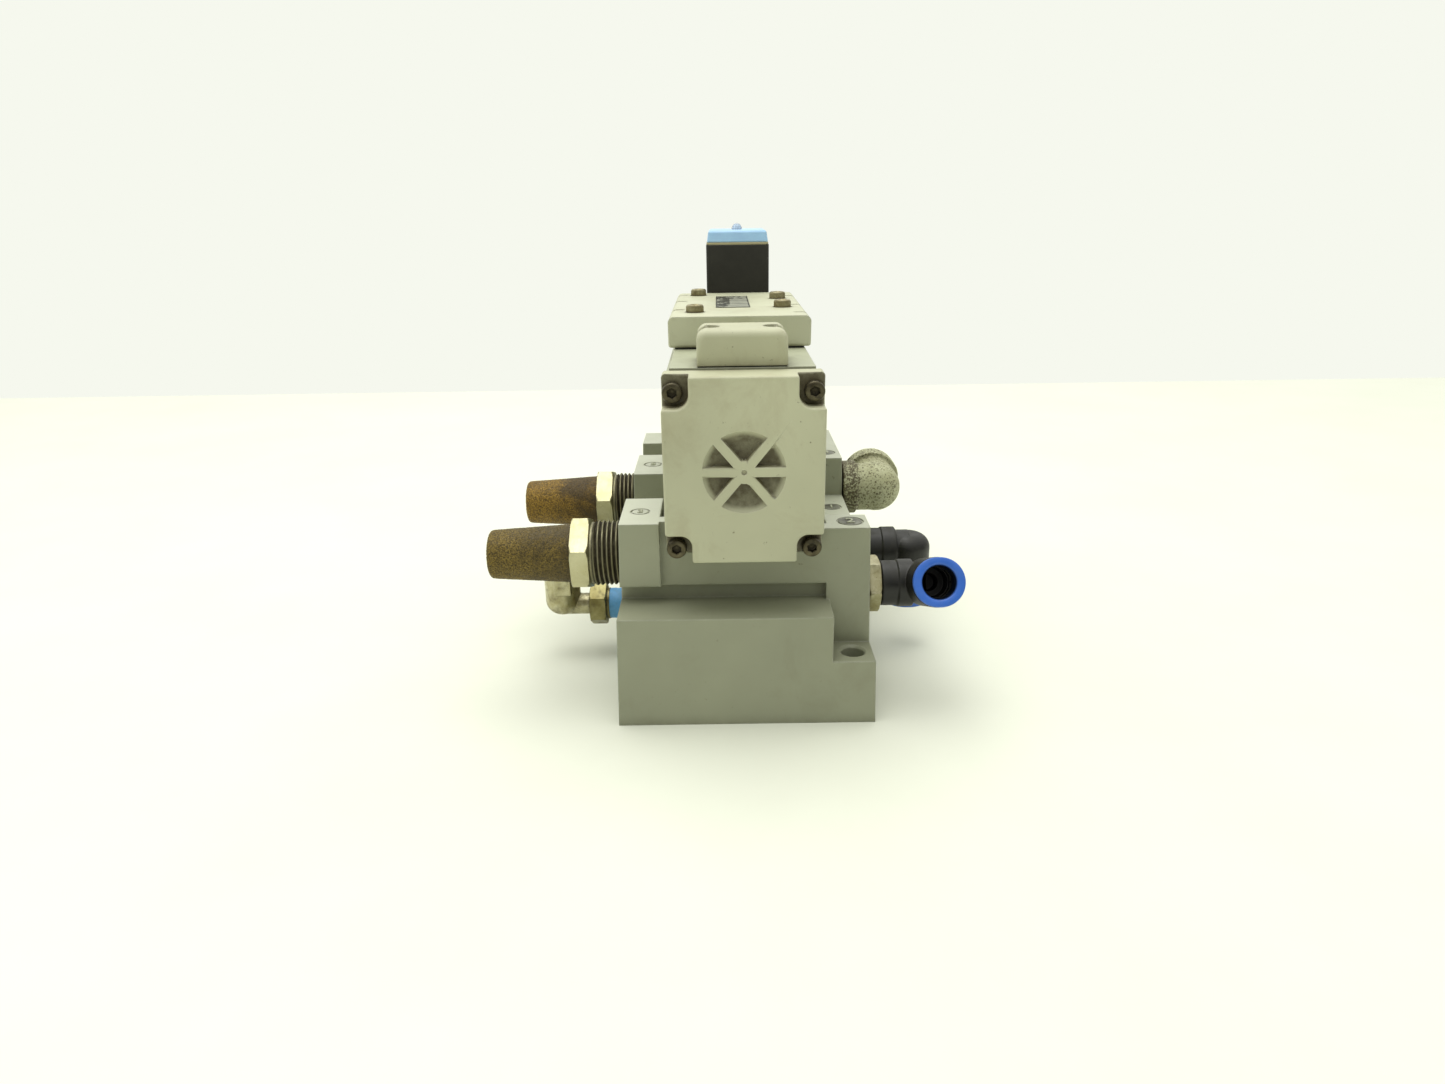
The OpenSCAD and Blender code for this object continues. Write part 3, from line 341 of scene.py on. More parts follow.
def cast_iron(name):
    """Galvanised malleable iron: pale, pitted, and brown with dirt, most of all on its collar, and
    darkened brown in crevices, partly as painted shade.
    """
    m = Tree(name)
    collar = m.span(m.place(0), 0.0575, 0.0555)
    pits = m.noise(0.5, 4, 0.72, seed=1)
    zone = m.span(m.noise(7, 4, 0.6, seed=2), 0.35, 0.65)
    worse = m.calc("ADD", m.calc("MULTIPLY", zone, 0.07), m.calc("MULTIPLY", collar, 0.1))
    low = m.calc("SUBTRACT", 0.56, worse)
    spot = m.calc("MULTIPLY", m.calc("SUBTRACT", pits, low), 14)
    spot = m.span(spot, 0, 1, 0, 0.9)
    base = m.mix(m.span(m.noise(5, 4, 0.6), 0.3, 0.7), lin(190, 192, 158), lin(166, 166, 128))
    base = m.mix(spot, base, lin(72, 62, 38))
    # crevices darkened brown: part dirt, part painted shade
    base = m.mix(m.calc("MULTIPLY", m.crevice(4), 0.85), base, lin(58, 44, 24))
    m.set(Base_Color=base, Metallic=0.1, Roughness=m.span(pits, 0.3, 0.7, 0.5, 0.75))
    m.bump(m.calc("ADD", pits, m.noise(3, 4, 0.6, seed=4)), 0.7, 0.22)
    return m.mat


def recessed(m):
    """The screw corners and the spoke recess of the front cover, which hold brown grime and painted
    shade.
    """
    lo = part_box("front_end_cover")[0]
    # deeper inside the recess, where grime gathers and painted shade falls
    deep = m.calc("MULTIPLY", m.span(m.place(1), lo.y + 0.0004, lo.y + 0.0016),
                  m.span(m.place(1), lo.y + 0.0105, lo.y + 0.0095))
    front = m.facing((0, -1, 0), 0.2, 0.5)
    return m.calc("MULTIPLY", m.calc("MULTIPLY", deep, front), 0.92), lin(74, 65, 38)


def marked(m):
    """Grime in the round port marks."""
    masks = [m.calc("MULTIPLY", m.at(x, y, z, r - 0.75), strength) for _, x, y, z, r, strength in PORTS]
    top = masks[0]
    for other in masks[1:]:
        top = m.calc("MAXIMUM", top, other)
    return top, lin(58, 56, 44)


# digit, place and radius of the round mark cast beside each port, and how dirty it is
BASE_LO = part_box("sub_base")[0]
PORTS = [
    ("2", 41.2, BASE_LO.y / MM + 25.9, 74.2, 5.3, 1.0),
    ("3", -40.7, BASE_LO.y / MM + 30.6, 77.8, 3.9, 0.15),
    ("5", -40.2, BASE_LO.y / MM + 101.5, 77.8, 4.2, 0.2),
    ("1", 41.4, BASE_LO.y / MM + 88.8, 60.0, 4.6, 0.9),
    ("4", 41.6, BASE_LO.y / MM + 117.8, 78.1, 4.4, 0.8),
]
# grime colour of the body paint, used also for its painted shade in corners
GRIME_AND_SHADE = lin(96, 80, 50)
mats = {
    # the base's last colour is dust on its high tops, lighter also as painted top light; its edge colour
    # also paints highlights
    "base_casting": painted("base_paint", lin(150, 153, 130), lin(112, 108, 84), 0.22, 0.5, 5, 0.6, 0.42,
                            0.16,
                            lin(214, 216, 196), 0.5, marked, 1.0, lin(212, 216, 198)),
    "body_casting": painted("body_paint", lin(174, 178, 153), GRIME_AND_SHADE, 0.2, 0.6, 5, 0.4, 0.5, 0.22,
                            lin(214, 215, 194), 0.4),
    "cover_casting": painted("cover_paint", lin(189, 190, 161), lin(140, 122, 84), 0.34, 0.95, 5, 0.9,
                             0.5, 0.22,
                             lin(232, 231, 208), 0.55, recessed, 0.8),
    "top_casting": painted("top_paint", lin(194, 196, 169), lin(140, 126, 90), 0.3, 0.7, 4, 0.6, 0.5, 0.2,
                           lin(232, 232, 210), 0.45, None, 0.9),
    "gasket_rubber": moulded("gasket_black", lin(26, 26, 24), lin(80, 76, 60), 0.3, 0.7),
    "screw_steel": metal("screw_dark", lin(104, 98, 78), lin(68, 62, 48), lin(30, 27, 18), 0.6, 1.0, 1.6,
                         0.4, 0.25, 2),
    "screw_zinc": metal("screw_zinc", lin(176, 170, 138), lin(132, 122, 86), lin(80, 64, 36), 0.55, 0.9,
                        1.5, 0.38, 0.25, 2, 0.8),
    "label_foil": foil("blank_foil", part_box("label_plate")),
    "coil_plastic": moulded("coil_black", lin(31, 30, 25), lin(84, 82, 68), 0.2, 0.45, 0.2, 0.5,
                            lin(92, 90, 78)),
    "terminal_tin": metal("tinned_blade", lin(205, 203, 192), lin(176, 172, 158), lin(120, 108, 80), 0.3,
                          0.5, 2, 0.28),
    "seal_cream": moulded("cream_seal", lin(170, 164, 130), lin(130, 112, 72), 0.4, 0.6),
    "cap_blue": moulded("cap_blue", lin(166, 208, 255), lin(200, 216, 240), 0.2, 0.3, 0.1, 0.8,
                        lin(190, 214, 250)),
    "tube_steel": metal("turned_steel", lin(186, 186, 180), lin(150, 150, 144), lin(100, 90, 70), 0.25,
                        0.5, 2, 0.3, 0.2, 5, 1.0, (0.2, 0.2, 6)),
    "core_steel": metal("core_steel", lin(170, 170, 168), lin(140, 141, 141), lin(96, 90, 76), 0.25, 0.4,
                        2, 0.34, 0.2, 5, 1.0, (0.2, 0.2, 6)),
    "spring_steel": metal("spring_steel", lin(172, 172, 168), lin(138, 136, 130), lin(92, 80, 60), 0.2,
                          0.3, 1, 0.32),
    "spool_aluminium": metal("turned_aluminium", lin(214, 215, 216), lin(190, 192, 194),
                             lin(130, 126, 112), 0.15, 0.4, 2, 0.26, 0.2, 6, 1.0, (0.2, 6, 0.2)),
    "cage_plastic": moulded("cage_plastic", lin(198, 192, 168), lin(150, 140, 110), 0.2, 0.45),
    "bush_bronze": metal("bush_bronze", lin(190, 148, 74), lin(154, 112, 50), lin(92, 66, 30), 0.3, 0.5,
                         2, 0.3, 0.2, 5, 1.0, (0.2, 6, 0.2)),
    "muffler_brass": metal("muffler_body", lin(190, 186, 154), lin(164, 158, 120), lin(48, 41, 25), 0.14,
                           0.95, 1.3, 0.32, 0.04, 9, oily=True),
    "bronze_dark": sintered("sinter_dark", lin(46, 37, 13), lin(106, 88, 36), lin(142, 120, 52),
                            lin(60, 51, 28), 0.75),
    "bronze_orange": sintered("sinter_orange", lin(56, 42, 12), lin(132, 102, 34), lin(170, 136, 52),
                              lin(52, 42, 24), 0.8),
    "nickel": metal("nickel_plate", lin(204, 200, 168), lin(156, 148, 108), lin(78, 64, 36), 0.55, 0.9, 2,
                    0.32, 0.2, 4, 0.85),
    "nickel_stained": metal("nickel_stained", lin(148, 142, 100), lin(108, 100, 62), lin(62, 50, 26), 0.5,
                            0.95, 2, 0.34, 0.15, 4, 0.9),
    "sealant_blue": moulded("sealant_blue", lin(92, 160, 214), lin(128, 140, 128), 0.4, 0.5, 0.5, 1.2),
    "seal_black": moulded("seal_black", lin(24, 24, 23), lin(70, 68, 60), 0.2, 0.55),
    "grip_steel": metal("grip_steel", lin(110, 110, 106), lin(86, 84, 78), lin(50, 46, 36), 0.2, 0.6, 3,
                        0.36),
    "elbow_plastic": moulded("elbow_black", lin(13, 13, 10), lin(92, 90, 74), 0.18, 0.4, 0.14, 0.7,
                             lin(80, 80, 70)),
    # the blue ring's last colour is the painted shade of its bore
    "ring_blue": moulded("ring_blue", lin(54, 108, 208), lin(104, 130, 176), 0.25, 0.34, 0.08, 0.8,
                         lin(104, 146, 226), lin(12, 20, 34)),
    "iron": cast_iron("malleable_iron"),
    "iron_thread": metal("iron_thread", lin(120, 112, 86), lin(84, 74, 48), lin(48, 38, 20), 0.7, 0.9, 2,
                         0.5, 0.4, 3, 0.7),
}
lens = Tree("clear_lens")
lens.set(Base_Color=lens.mix(lens.noise(2, 3), lin(206, 214, 226), lin(232, 236, 240)),
         Roughness=lens.span(lens.noise(1, 3), 0.3, 0.7, 0.06, 0.16))
lens.bsdf.inputs["Transmission Weight"].default_value = 0.6
lens.bsdf.inputs["IOR"].default_value = 1.45
lens.bump(lens.noise(1.5, 2), 0.1, 0.03)
mats["lens_clear"] = lens.mat

SLOT = {s["node"]: s["material_slot"] for s in frame["record"]["subparts"]}
BODY = {n: b for b, ns in frame["record"]["behaviour"]["bodies"].items() for n in ns}
for node, obj in NODES.items():
    obj.data.materials.clear()
    obj.data.materials.append(mats[SLOT[node]])


# ---------------------------------------------------------------- mesh tools


def made(name, verts, faces, node, sharp=34, look=None):
    """A new piece in the place of a CAD node: same body, same material slot."""
    mesh = bpy.data.meshes.new(name)
    mesh.from_pydata([tuple(v) for v in verts], [], faces)
    mesh.validate()
    bm = bmesh.new()
    bm.from_mesh(mesh)
    bmesh.ops.remove_doubles(bm, verts=bm.verts, dist=1e-6)
    bmesh.ops.recalc_face_normals(bm, faces=bm.faces)
    bm.to_mesh(mesh)
    bm.free()
    return finished(name, mesh, node, sharp, look)


def finished(name, mesh, node, sharp=34, look=None):
    """Shades a mesh and puts it in the place of its CAD node."""
    mesh.shade_smooth()
    if sharp:
        mesh.set_sharp_from_angle(angle=radians(sharp))
    mesh.materials.clear()
    mesh.materials.append(mats[look or SLOT[node]])
    obj = bpy.data.objects.new(name, mesh)
    bpy.context.scene.collection.objects.link(obj)
    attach(obj, BODY[node])
    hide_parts(node)
    return obj


def lathe(rows, segs, matrix):
    """Rows of (z, radius), in millimetres, turned round Z.

    A radius may be a function of the angle, and a row may be closed at 0.
    """
    verts, faces, rings = [], [], []
    for z, r in rows:
        if not callable(r) and r == 0:
            rings.append([len(verts)])
            verts.append(matrix @ Vector((0, 0, z * MM)))
            continue
        ring = []
        for i in range(segs):
            a = 2 * pi * i / segs
            q = r(a) if callable(r) else r
            ring.append(len(verts))
            verts.append(matrix @ (Vector((q * cos(a), q * sin(a), z)) * MM))
        rings.append(ring)
    for low, high in zip(rings, rings[1:]):
        for i in range(segs):
            j = (i + 1) % segs
            if len(low) == 1:
                faces.append((low[0], high[i], high[j]))
            elif len(high) == 1:
                faces.append((low[i], low[j], high[0]))
            else:
                faces.append((low[i], low[j], high[j], high[i]))
    return verts, faces


def hexagon(af):
    return lambda a: af / 2 / cos(((a + pi / 6) % (pi / 3)) - pi / 6)


def least(*rs):
    return lambda a: min(r(a) if callable(r) else r for r in rs)


def islands(node):
    """Box of each separate solid in a CAD node."""
    mesh = NODES[node].data
    seen, root = {}, []
    for v in mesh.vertices:
        key = tuple(round(c * 1e6) for c in v.co)
        root.append(seen.setdefault(key, v.index))
    up = list(range(len(mesh.vertices)))

    def top(i):
        while up[i] != i:
            up[i] = up[up[i]]
            i = up[i]
        return i

    for p in mesh.polygons:
        a = top(root[p.vertices[0]])
        for v in p.vertices[1:]:
            up[top(root[v])] = a
    boxes = {}
    for v in mesh.vertices:
        lo, hi = boxes.setdefault(top(root[v.index]), (Vector(v.co), Vector(v.co)))
        for k in range(3):
            lo[k], hi[k] = min(lo[k], v.co[k]), max(hi[k], v.co[k])
    return sorted(boxes.values(), key=lambda b: (round(b[0].x, 4), round(b[0].y, 4), round(b[0].z, 4)))


def softened(node, width, segments=2):
    """Rounds a CAD node's edges with modifiers; its mesh stays as it is."""
    obj = NODES[node]
    weld = obj.modifiers.new("weld", "WELD")
    weld.merge_threshold = 2e-6
    flat = obj.modifiers.new("flat", "DECIMATE")
    flat.decimate_type = "DISSOLVE"
    flat.angle_limit = radians(0.6)
    bevel = obj.modifiers.new("edges", "BEVEL")
    bevel.width = width * MM
    bevel.segments = segments
    bevel.limit_method = "ANGLE"
    bevel.angle_limit = radians(32)
    bevel.use_clamp_overlap = True
    bevel.miter_outer = "MITER_ARC"
    normals = obj.modifiers.new("normals", "WEIGHTED_NORMAL")
    normals.keep_sharp = False
    normals.weight = 80


def remeshed(node, voxel, rounds=4, rough=0.0, grain=1.5):
    """A cast or moulded copy of a CAD node with its edges melted a little."""
    src = NODES[node]
    tmp = bpy.data.objects.new("tmp", src.data.copy())
    bpy.context.scene.collection.objects.link(tmp)
    weld = tmp.modifiers.new("weld", "WELD")
    weld.merge_threshold = 2e-6
    re = tmp.modifiers.new("voxels", "REMESH")
    re.mode = "VOXEL"
    re.voxel_size = voxel * MM * 1
    smooth = tmp.modifiers.new("smooth", "SMOOTH")
    smooth.factor = 0.5
    smooth.iterations = rounds
    dg = bpy.context.evaluated_depsgraph_get()
    mesh = bpy.data.meshes.new_from_object(tmp.evaluated_get(dg))
    bpy.data.objects.remove(tmp)
    if rough:
        for v in mesh.vertices:
            p = v.co * (1000 / grain)
            v.co += v.normal * ((noise.noise(p) + 0.5 * noise.noise(p * 2.3)) * rough * MM)
    finished(node + "_shell", mesh, node, None)


def rounded(bm, width, test, segments=3):
    """Bevels the long sharp edges that pass the test and have room beside them."""
    chosen = []
    for e in bm.edges:
        length = e.calc_length()
        if length < 0.6 * MM or len(e.link_faces) != 2 or e.calc_face_angle(0) < radians(30):
            continue
        room = min(f.calc_area() / length for f in e.link_faces) > 1.1 * width * MM
        if room and all(test(v.co) for v in e.verts):
            chosen.append(e)
    bmesh.ops.bevel(bm, geom=chosen, offset=width * MM, offset_type="OFFSET", segments=segments,
                    profile=0.5, affect="EDGES", clamp_overlap=False, miter_outer="ARC")


def cast(node, width, big=0, where=None):
    """A copy of a CAD node with the rounded edges of a casting or a moulding."""
    bm = bmesh.new()
    bm.from_mesh(NODES[node].data)
    bmesh.ops.remove_doubles(bm, verts=bm.verts, dist=2e-6)
    bmesh.ops.dissolve_limit(bm, angle_limit=radians(0.5), verts=bm.verts, edges=bm.edges)
    if big:
        rounded(bm, big, where, 5)
    rounded(bm, width, lambda p: True)
    mesh = bpy.data.meshes.new(node + "_cast")
    bm.to_mesh(mesh)
    bm.free()
    obj = finished(node + "_cast", mesh, node, 34)
    normals = obj.modifiers.new("normals", "WEIGHTED_NORMAL")
    normals.keep_sharp = True
    normals.weight = 90


def rotation(axis):
    """Turns +Z to the axis."""
    return Vector((0, 0, 1)).rotation_difference(Vector(axis)).to_matrix().to_4x4()


# ---------------------------------------------------------------- socket screws


def screw_rows(head_r, head_h, shank_r, length, key, ridges):
    knurl = lambda a: head_r - 0.16 * abs(sin(ridges * a / 2)) ** 1.5
    hole = hexagon(key)
    wide = lambda a: hole(a) + 0.28
    return [(-length, 0), (-length, shank_r - 0.4), (-length + 0.5, shank_r), (0, shank_r),
            (0, head_r - 0.35), (0.3, head_r - 0.12), (0.55, knurl), (head_h - 0.85, knurl),
            (head_h - 0.6, head_r - 0.12),
            (head_h - 0.2, head_r - 0.3), (head_h, head_r - 0.65), (head_h, wide), (head_h - 0.26, hole),
            (head_h - 2.1, hole), (head_h - 2.5, key * 0.3), (head_h - 2.6, 0)]


def screws(node, axis, head_r, head_h, shank_r, key=3.0, turn=0.0):
    verts, faces = [], []
    axis = Vector(axis)
    k = max(range(3), key=lambda i: abs(axis[i]))
    for n, (lo, hi) in enumerate(islands(node)):
        top = (hi if axis[k] > 0 else lo)[k]
        length = (hi - lo)[k] / MM - head_h
        at = (lo + hi) / 2
        at[k] = top - axis[k] * head_h * MM
        m = Matrix.Translation(at) @ rotation(axis) @ Matrix.Rotation(turn + n * 1.1, 4, "Z")
        v, f = lathe(screw_rows(head_r, head_h, shank_r, length, key, 36), 144, m)
        faces += [tuple(i + len(verts) for i in p) for p in f]
        verts += v
    made(node + "_knurled", verts, faces, node, 30)


screws("front_cover_screws", (0, -1, 0), 3.7, 4, 2, 3.1)
screws("pilot_cover_screws", (0, 1, 0), 3.7, 4, 2, 3.1, 0.4)
screws("top_cover_screws", (0, 0, 1), 3.7, 4, 2, 3.1, 0.2)
screws("blanking_cap_screws", (0, 0, 1), 3.7, 4, 2, 3.1, 0.8)
screws("hold_down_screws", (0, 0, 1), 4.2, 5, 2.5, 4.0, 0.5)


# ---------------------------------------------------------------- mufflers

PITCH = 1.814  # 14 turns to the inch
HEX_AF = 27.0
HEX_H = 7.6
CONE = 33.2
ROOT = -22.9
CONE_R0, CONE_R1 = 11.72, 9.7


def dome(u, low, rise):
    """Radius of a hexagon's turned shoulder, u from 0 at its rim to 1 where it meets the flats."""
    return low + rise * (1 - (1 - u) ** 2) ** 0.5


def thread_radius(z, top, crest, taper, pitch, depth):
    def r(a):
        u = ((z - top) / pitch - a / (2 * pi)) % 1.0
        tooth = 1 - abs(2 * u - 1)
        return crest + (z - top) * taper - depth * (1 - min(1.0, tooth * 1.25))
    return r


def muffler(side, seed, turn):
    body, cone = side + "_muffler_body", side + "_muffler_cone"
    lo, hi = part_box(cone)
    reach = -lo.x / MM - HEX_H - CONE
    centre = (-reach * MM, (lo.y + hi.y) / 2, (lo.z + hi.z) / 2)
    m = Matrix.Translation(centre) @ rotation((-1, 0, 0))
    m = m @ Matrix.Rotation(radians(90 - turn), 4, "Z")
    rows = [(ROOT, 8)]
    z = ROOT
    rows.append((z, thread_radius(z, 0, 12.2, 0, PITCH, 0.5)))
    while z < -1.5:
        rows.append((z, thread_radius(z, 0, 13.1, 1 / 32, PITCH, 1.12)))
        z += PITCH / 10
    rows += [(-1.2, 12.3), (-0.2, 12.3), (0, 12.6)]
    six = hexagon(HEX_AF)
    for t in range(7):
        u = t / 6
        rows.append((1.5 * u, least(six, dome(u, 12.95, 2.75))))
    for t in range(7):
        u = 1 - t / 6
        rows.append((HEX_H - 1.5 * u, least(six, dome(u, 12.95, 2.75))))
    rows += [(HEX_H, 10.75), (7.4, 10.6), (1.5, 10.6), (1.5, 8), (ROOT, 8)]
    v, f = lathe(rows, 120, m)
    nut = made(side + "_muffler_nut", v, f, body, 30)
    back = m.inverted()
    oily = nut.data.attributes.new("oily", "FLOAT", "POINT")
    for point, value in zip(nut.data.vertices, oily.data):
        q = back @ point.co / MM
        if q.z < -0.3:
            crest = (math.hypot(q.x, q.y) - 12.1 - q.z / 32) / 1.05
            value.value = 1 - 0.55 * max(0, min(1, (crest - 0.7) / 0.3))

    # sintered cone: every point is pushed out by the bead it lies on
    step = 0.36
    segs = 200
    line = [(1.7, 0), (1.7, 10.5)]
    z = 7.7
    while z < HEX_H + CONE - 1.5:
        line.append((z, CONE_R0 - (z - HEX_H) * (CONE_R0 - CONE_R1) / CONE))
        z += step
    for t in range(6):
        a = t / 5 * pi / 2
        line.append((HEX_H + CONE - 1.6 + 1.4 * sin(a), 8.35 + 1.4 * cos(a)))
    r = 8.35 - step
    while r > 0.5:
        line.append((HEX_H + CONE - 0.2, r))
        r -= step * 1.3
    line.append((HEX_H + CONE - 0.2, 0))
    v, f = lathe(line, segs, Matrix.Identity(4))
    offset = Vector((seed, 0, 0))
    out = []
    for p in v:
        q = p / MM
        if q.z > 7.65:
            d = noise.voronoi(q * (1 / 0.6) + offset)[0][0]
            push = 0.14 * (1 - min(1, d / 0.62) ** 2) - 0.1 + 0.05 * noise.noise(q * 0.35 + offset)
            on_side = q.z < HEX_H + CONE - 1.5
            out_of = Vector((q.x, q.y, 1.2)) if on_side else Vector((q.x * 0.05, q.y * 0.05, 1))
            q = q + out_of.normalized() * push
        out.append(m @ (q * MM))
    made(side + "_sintered_cone", out, f, cone, None)


muffler("front", 3.0, 9.0)
muffler("rear", 17.0, 13.0)


# ---------------------------------------------------------------- fittings


def studded(node, centre, axis, rows, turn=0.0, look=None):
    m = Matrix.Translation(centre) @ rotation(axis) @ Matrix.Rotation(turn, 4, "Z")
    v, f = lathe(rows, 96, m)
    made(node + "_turned", v, f, node, 30, look)


def hex_rows(z0, z1, af):
    """A hexagon with 1 mm turned shoulders at both ends."""
    six = hexagon(af)
    r0, r1 = af / 2 * 0.97, af / math.sqrt(3) + 0.02
    rows = [(z0, r0 - 0.4)]
    for t in range(5):
        u = t / 4
        rows.append((z0 + u, least(six, dome(u, r0, r1 - r0))))
    for t in range(5):
        u = 1 - t / 4
        rows.append((z1 - u, least(six, dome(u, r0, r1 - r0))))
    rows.append((z1, r0 - 0.4))
    return rows


def helix_rows(z0, z1, crest, taper, pitch, depth):
    rows, z = [], z0
    while z <= z1:
        rows.append((z, thread_radius(z, z1, crest, taper, pitch, depth)))
        z += pitch / 8
    return rows


for side in ("front", "rear"):
    lo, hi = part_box(side + "_stud")
    centre = Vector((0, (lo.y + hi.y) / 2, (lo.z + hi.z) / 2))
    rows = [(36.5, 3.6), (36.5, 7.3)] + helix_rows(36.6, 47.6, 8.2, 1 / 32, 1.337, 0.8)
    rows += [(47.9, 7.4), (49.0, 7.4)] + hex_rows(49.1, 54.2, 20)
    rows += [(54.2, 5.5), (65, 5.5), (65, 3.6), (36.5, 3.6)]
    studded(side + "_stud", centre, (1, 0, 0), rows, look="nickel")

lo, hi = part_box("nickel_stud")
centre = Vector((0, (lo.y + hi.y) / 2, (lo.z + hi.z) / 2))
rows = [(38, 2.2), (38, 5.2)] + helix_rows(38.2, 58.9, 6.44, 0, 1.337, 0.8)
rows += [(59.0, 6.9), (60.1, 7.0)] + hex_rows(60.2, 67.5, 17)
rows += [(67.5, 3.2), (76, 3.2), (76, 2.2), (38, 2.2)]
studded("nickel_stud", centre, (-1, 0, 0), rows, turn=radians(94))

# dried sealant: a lumpy sleeve over the stud's thread
lo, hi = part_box("thread_sealant")
m = Matrix.Translation((hi.x, (lo.y + hi.y) / 2, (lo.z + hi.z) / 2)) @ rotation((-1, 0, 0))
span = (hi.x - lo.x) / MM


def lumpy(z):
    """Radius of the sleeve at z, with lumps and a faint trace of the thread under it."""

    def r(a):
        lump = noise.noise(Vector((cos(a) * 2.2, sin(a) * 2.2, z * 0.8)))
        return 6.7 + 0.17 * lump + 0.05 * sin(z * 4.7 + a)

    return r


rows = [(0, 6.48), (0, 6.55)]
rows += [(span * i / 24, lumpy(span * i / 24)) for i in range(1, 24)]
rows += [(span, 6.55), (span, 6.48), (0, 6.48)]
v, f = lathe(rows, 72, m)
made("sealant_sleeve", v, f, "thread_sealant", None)

for node, voxel, rounds in (("front_elbow", 0.25, 2), ("rear_elbow", 0.25, 2), ("nickel_elbow", 0.22, 2)):
    remeshed(node, voxel, rounds)
remeshed("iron_elbow", 0.4, 8, 0.1, 1.6)
softened("nickel_release", 0.3, 2)


def release(node, axis):
    """A blue ring: sleeve, thin oval flange with soft edges, and painted shade on the bore behind its
    mouth.
    """
    axis = Vector(axis)
    lo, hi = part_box(node.replace("release", "stud"))
    side = Vector((1, 0, 0))
    m = Matrix((side, axis.cross(side), axis)).transposed().to_4x4()
    m = Matrix.Translation((LEG_X * MM, (lo.y + hi.y) / 2, (lo.z + hi.z) / 2)) @ m
    oval = lambda inset: lambda a: 0.45 * abs(cos(a)) + 9.55 - inset
    top = LEG_END
    rows = [(top - 8, 6.3), (top - 8, 8.1), (top - 2, 8.1), (top - 2, oval(0.3)), (top - 1.7, oval(0)),
            (top - 0.5, oval(0)), (top - 0.15, oval(0.15)), (top, oval(0.55)), (top, 7.4),
            (top - 0.2, 6.95), (top - 0.9, 6.45), (top - 1.6, 6.3), (top - 8, 6.3)]
    v, f = lathe(rows, 96, m)
    ring = made(node + "_ring", v, f, node, 40)
    back = m.inverted()
    # painted shade: marks the bore's wall behind the mouth for the ring's shade colour
    bore = ring.data.attributes.new("bore", "FLOAT", "POINT")
    for point, value in zip(ring.data.vertices, bore.data):
        q = back @ point.co / MM
        value.value = 1.0 if math.hypot(q.x, q.y) < 6.9 and q.z < top - 0.5 else 0.0


LEG_X, LEG_END, LEAN = 73.5, 24.9, radians(22)
release("front_release", (0, -cos(LEAN), sin(LEAN)))
release("rear_release", (0, 0, -1))


# ---------------------------------------------------------------- castings and covers

cast("front_end_cover", 0.9)
cast("pilot_end_cover", 0.9)
cast("top_cover", 1.1)
cast("coil", 0.6)
cast("coil_cap", 0.7)
hat_lo, hat_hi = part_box("blanking_cap")
hat_mid = (hat_lo.z + hat_hi.z) / 2
cast("blanking_cap", 0.8, 2.6, lambda p: p.y < hat_lo.y + 0.0001 and p.z > hat_mid)
softened("cap_gasket", 0.3, 2)
softened("label_plate", 0.08, 2)
softened("iron_nipple", 0.2, 1)

# port numbers cast beside the ports, as on any five-port valve
for digit, x, y, z, r, _ in PORTS:
    curve = bpy.data.curves.new("digit_" + digit, "FONT")
    curve.body = digit
    curve.size = 1.35 * r * MM
    curve.extrude = 0.16 * MM
    curve.bevel_depth = 0.06 * MM
    curve.align_x, curve.align_y = "CENTER", "CENTER"
    tmp = bpy.data.objects.new("tmp", curve)
    bpy.context.scene.collection.objects.link(tmp)
    mesh = bpy.data.meshes.new_from_object(tmp.evaluated_get(bpy.context.evaluated_depsgraph_get()))
    bpy.data.objects.remove(tmp)
    mesh.transform(Matrix.Translation((x * MM, y * MM, (z + 0.1) * MM)))
    mesh.materials.clear()
    mesh.materials.append(mats["body_casting"])
    mark = bpy.data.objects.new("port_mark_" + digit, mesh)
    bpy.context.scene.collection.objects.link(mark)
    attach(mark, "valve")


# ---------------------------------------------------------------- floor, light, camera

FLOOR, BACK = 4.5, 0.614
bpy.ops.mesh.primitive_plane_add(size=FLOOR, location=(0, BACK - FLOOR / 2, 0))
floor = bpy.context.object
floor.name = "floor"
pale = Tree("pale_floor")
cloudy = pale.span(pale.noise(60, 5, 0.6), 0.3, 0.7)
pale.set(Base_Color=pale.mix(cloudy, lin(228, 231, 217), lin(233, 236, 223)), Roughness=0.7)
pale.bump(pale.noise(2, 3), 0.03, 0.05)
floor.data.materials.append(pale.mat)

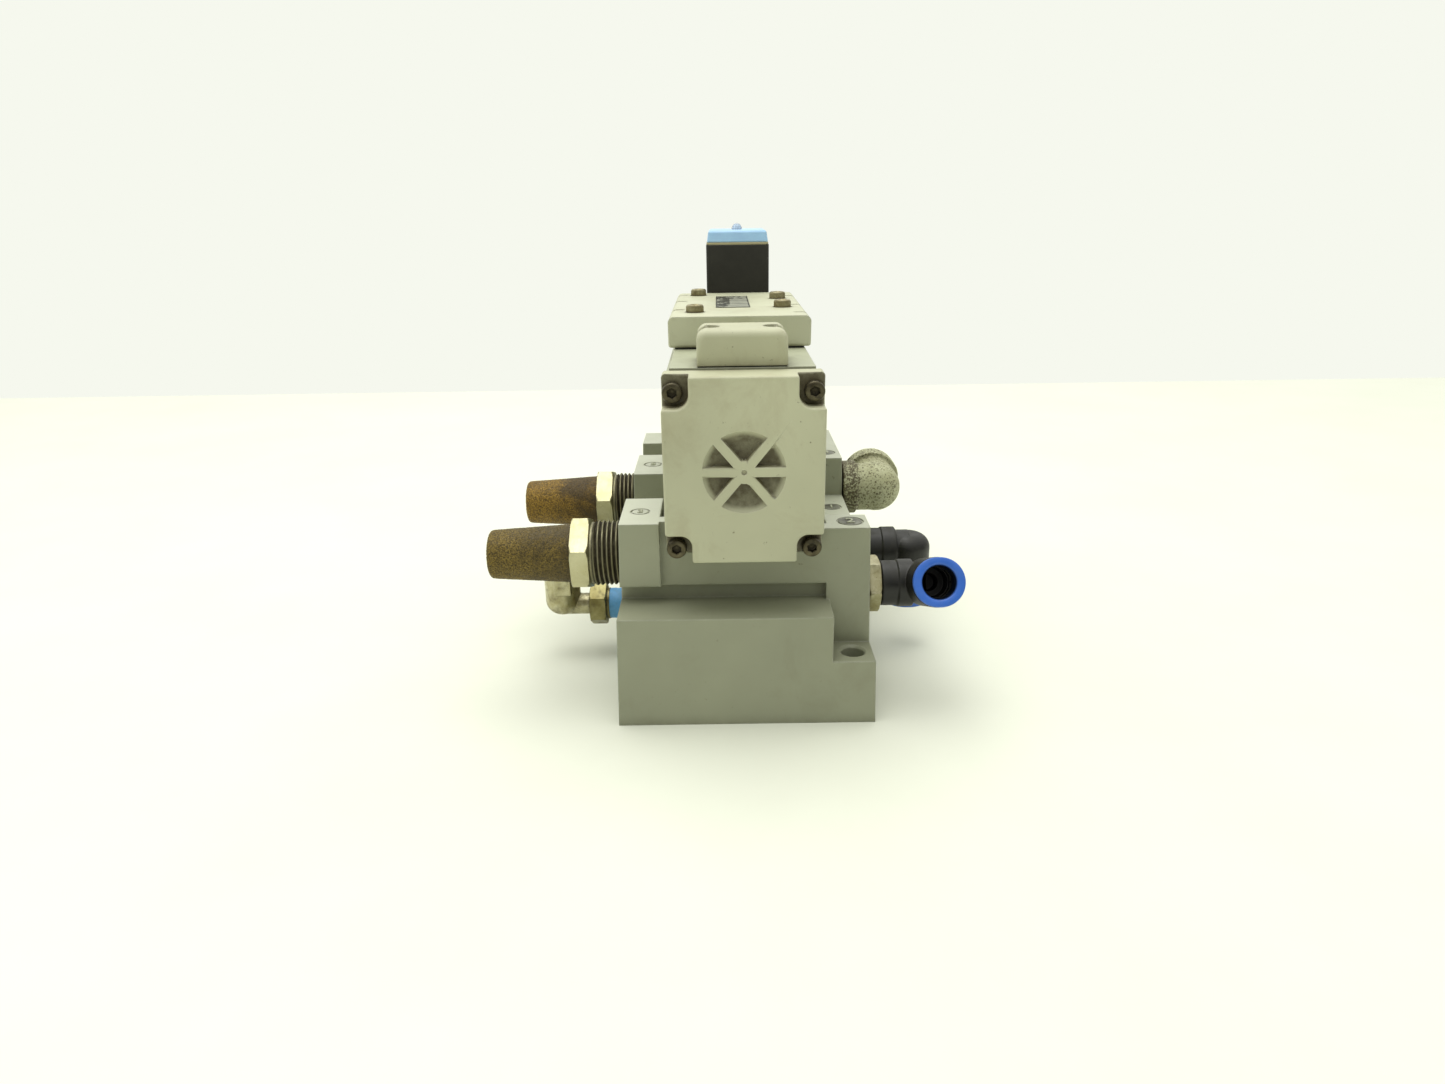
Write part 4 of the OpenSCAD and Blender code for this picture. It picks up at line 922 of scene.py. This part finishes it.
scene = bpy.context.scene
world = bpy.data.worlds.new("light_tent")
scene.world = world
world.use_nodes = True
wt = world.node_tree
wt.nodes.clear()
w_out = wt.nodes.new("ShaderNodeOutputWorld")
w_mix = wt.nodes.new("ShaderNodeMixShader")
w_seen = wt.nodes.new("ShaderNodeBackground")
w_lit = wt.nodes.new("ShaderNodeBackground")
w_path = wt.nodes.new("ShaderNodeLightPath")
w_dir = wt.nodes.new("ShaderNodeTexCoord")
w_dot = wt.nodes.new("ShaderNodeVectorMath")
w_dot.operation = "DOT_PRODUCT"
w_dot.inputs[1].default_value = (-0.1, 0.3, 0.95)
w_map = wt.nodes.new("ShaderNodeMapRange")
w_map.interpolation_type = "SMOOTHSTEP"
for k, val in (("From Min", -0.25), ("From Max", 0.95), ("To Min", 0.16), ("To Max", 1.33)):
    w_map.inputs[k].default_value = val
w_seen.inputs[0].default_value = lin(246, 248, 238)
w_lit.inputs[0].default_value = (1.0, 1.0, 0.93, 1)
wt.links.new(w_dir.outputs["Generated"], w_dot.inputs[0])
wt.links.new(w_dot.outputs["Value"], w_map.inputs["Value"])
wt.links.new(w_map.outputs[0], w_lit.inputs[1])
wt.links.new(w_path.outputs["Is Camera Ray"], w_mix.inputs[0])
wt.links.new(w_lit.outputs[0], w_mix.inputs[1])
wt.links.new(w_seen.outputs[0], w_mix.inputs[2])
wt.links.new(w_mix.outputs[0], w_out.inputs[0])


def soft_box(name, at, to, size, power):
    light = bpy.data.lights.new(name, "AREA")
    light.shape = "RECTANGLE"
    light.size, light.size_y = size
    light.energy = power
    light.color = (1.0, 0.995, 0.95)
    obj = bpy.data.objects.new(name, light)
    obj.location = at
    obj.rotation_euler = (Vector(to) - Vector(at)).to_track_quat("-Z", "Y").to_euler()
    scene.collection.objects.link(obj)


soft_box("top_box", (-0.15, 0.1, 1.1), (0, 0, 0.08), (1.0, 0.8), 5.5)

cam = bpy.data.cameras.new("camera")
cam.sensor_width = 36.0
cam.lens = 36.0 * 950 / 1445
cam.clip_start, cam.clip_end = 0.02, 20
camera = bpy.data.objects.new("camera", cam)
DOWN, ROLL = radians(19.8), -0.0145
tilt = Matrix.Rotation(pi / 2 - DOWN, 4, "X") @ Matrix.Rotation(ROLL, 4, "Z")
camera.matrix_world = Matrix.Translation((-0.0086, -0.416, 0.1926)) @ tilt
scene.collection.objects.link(camera)
scene.camera = camera
scene.view_settings.view_transform = "Standard"
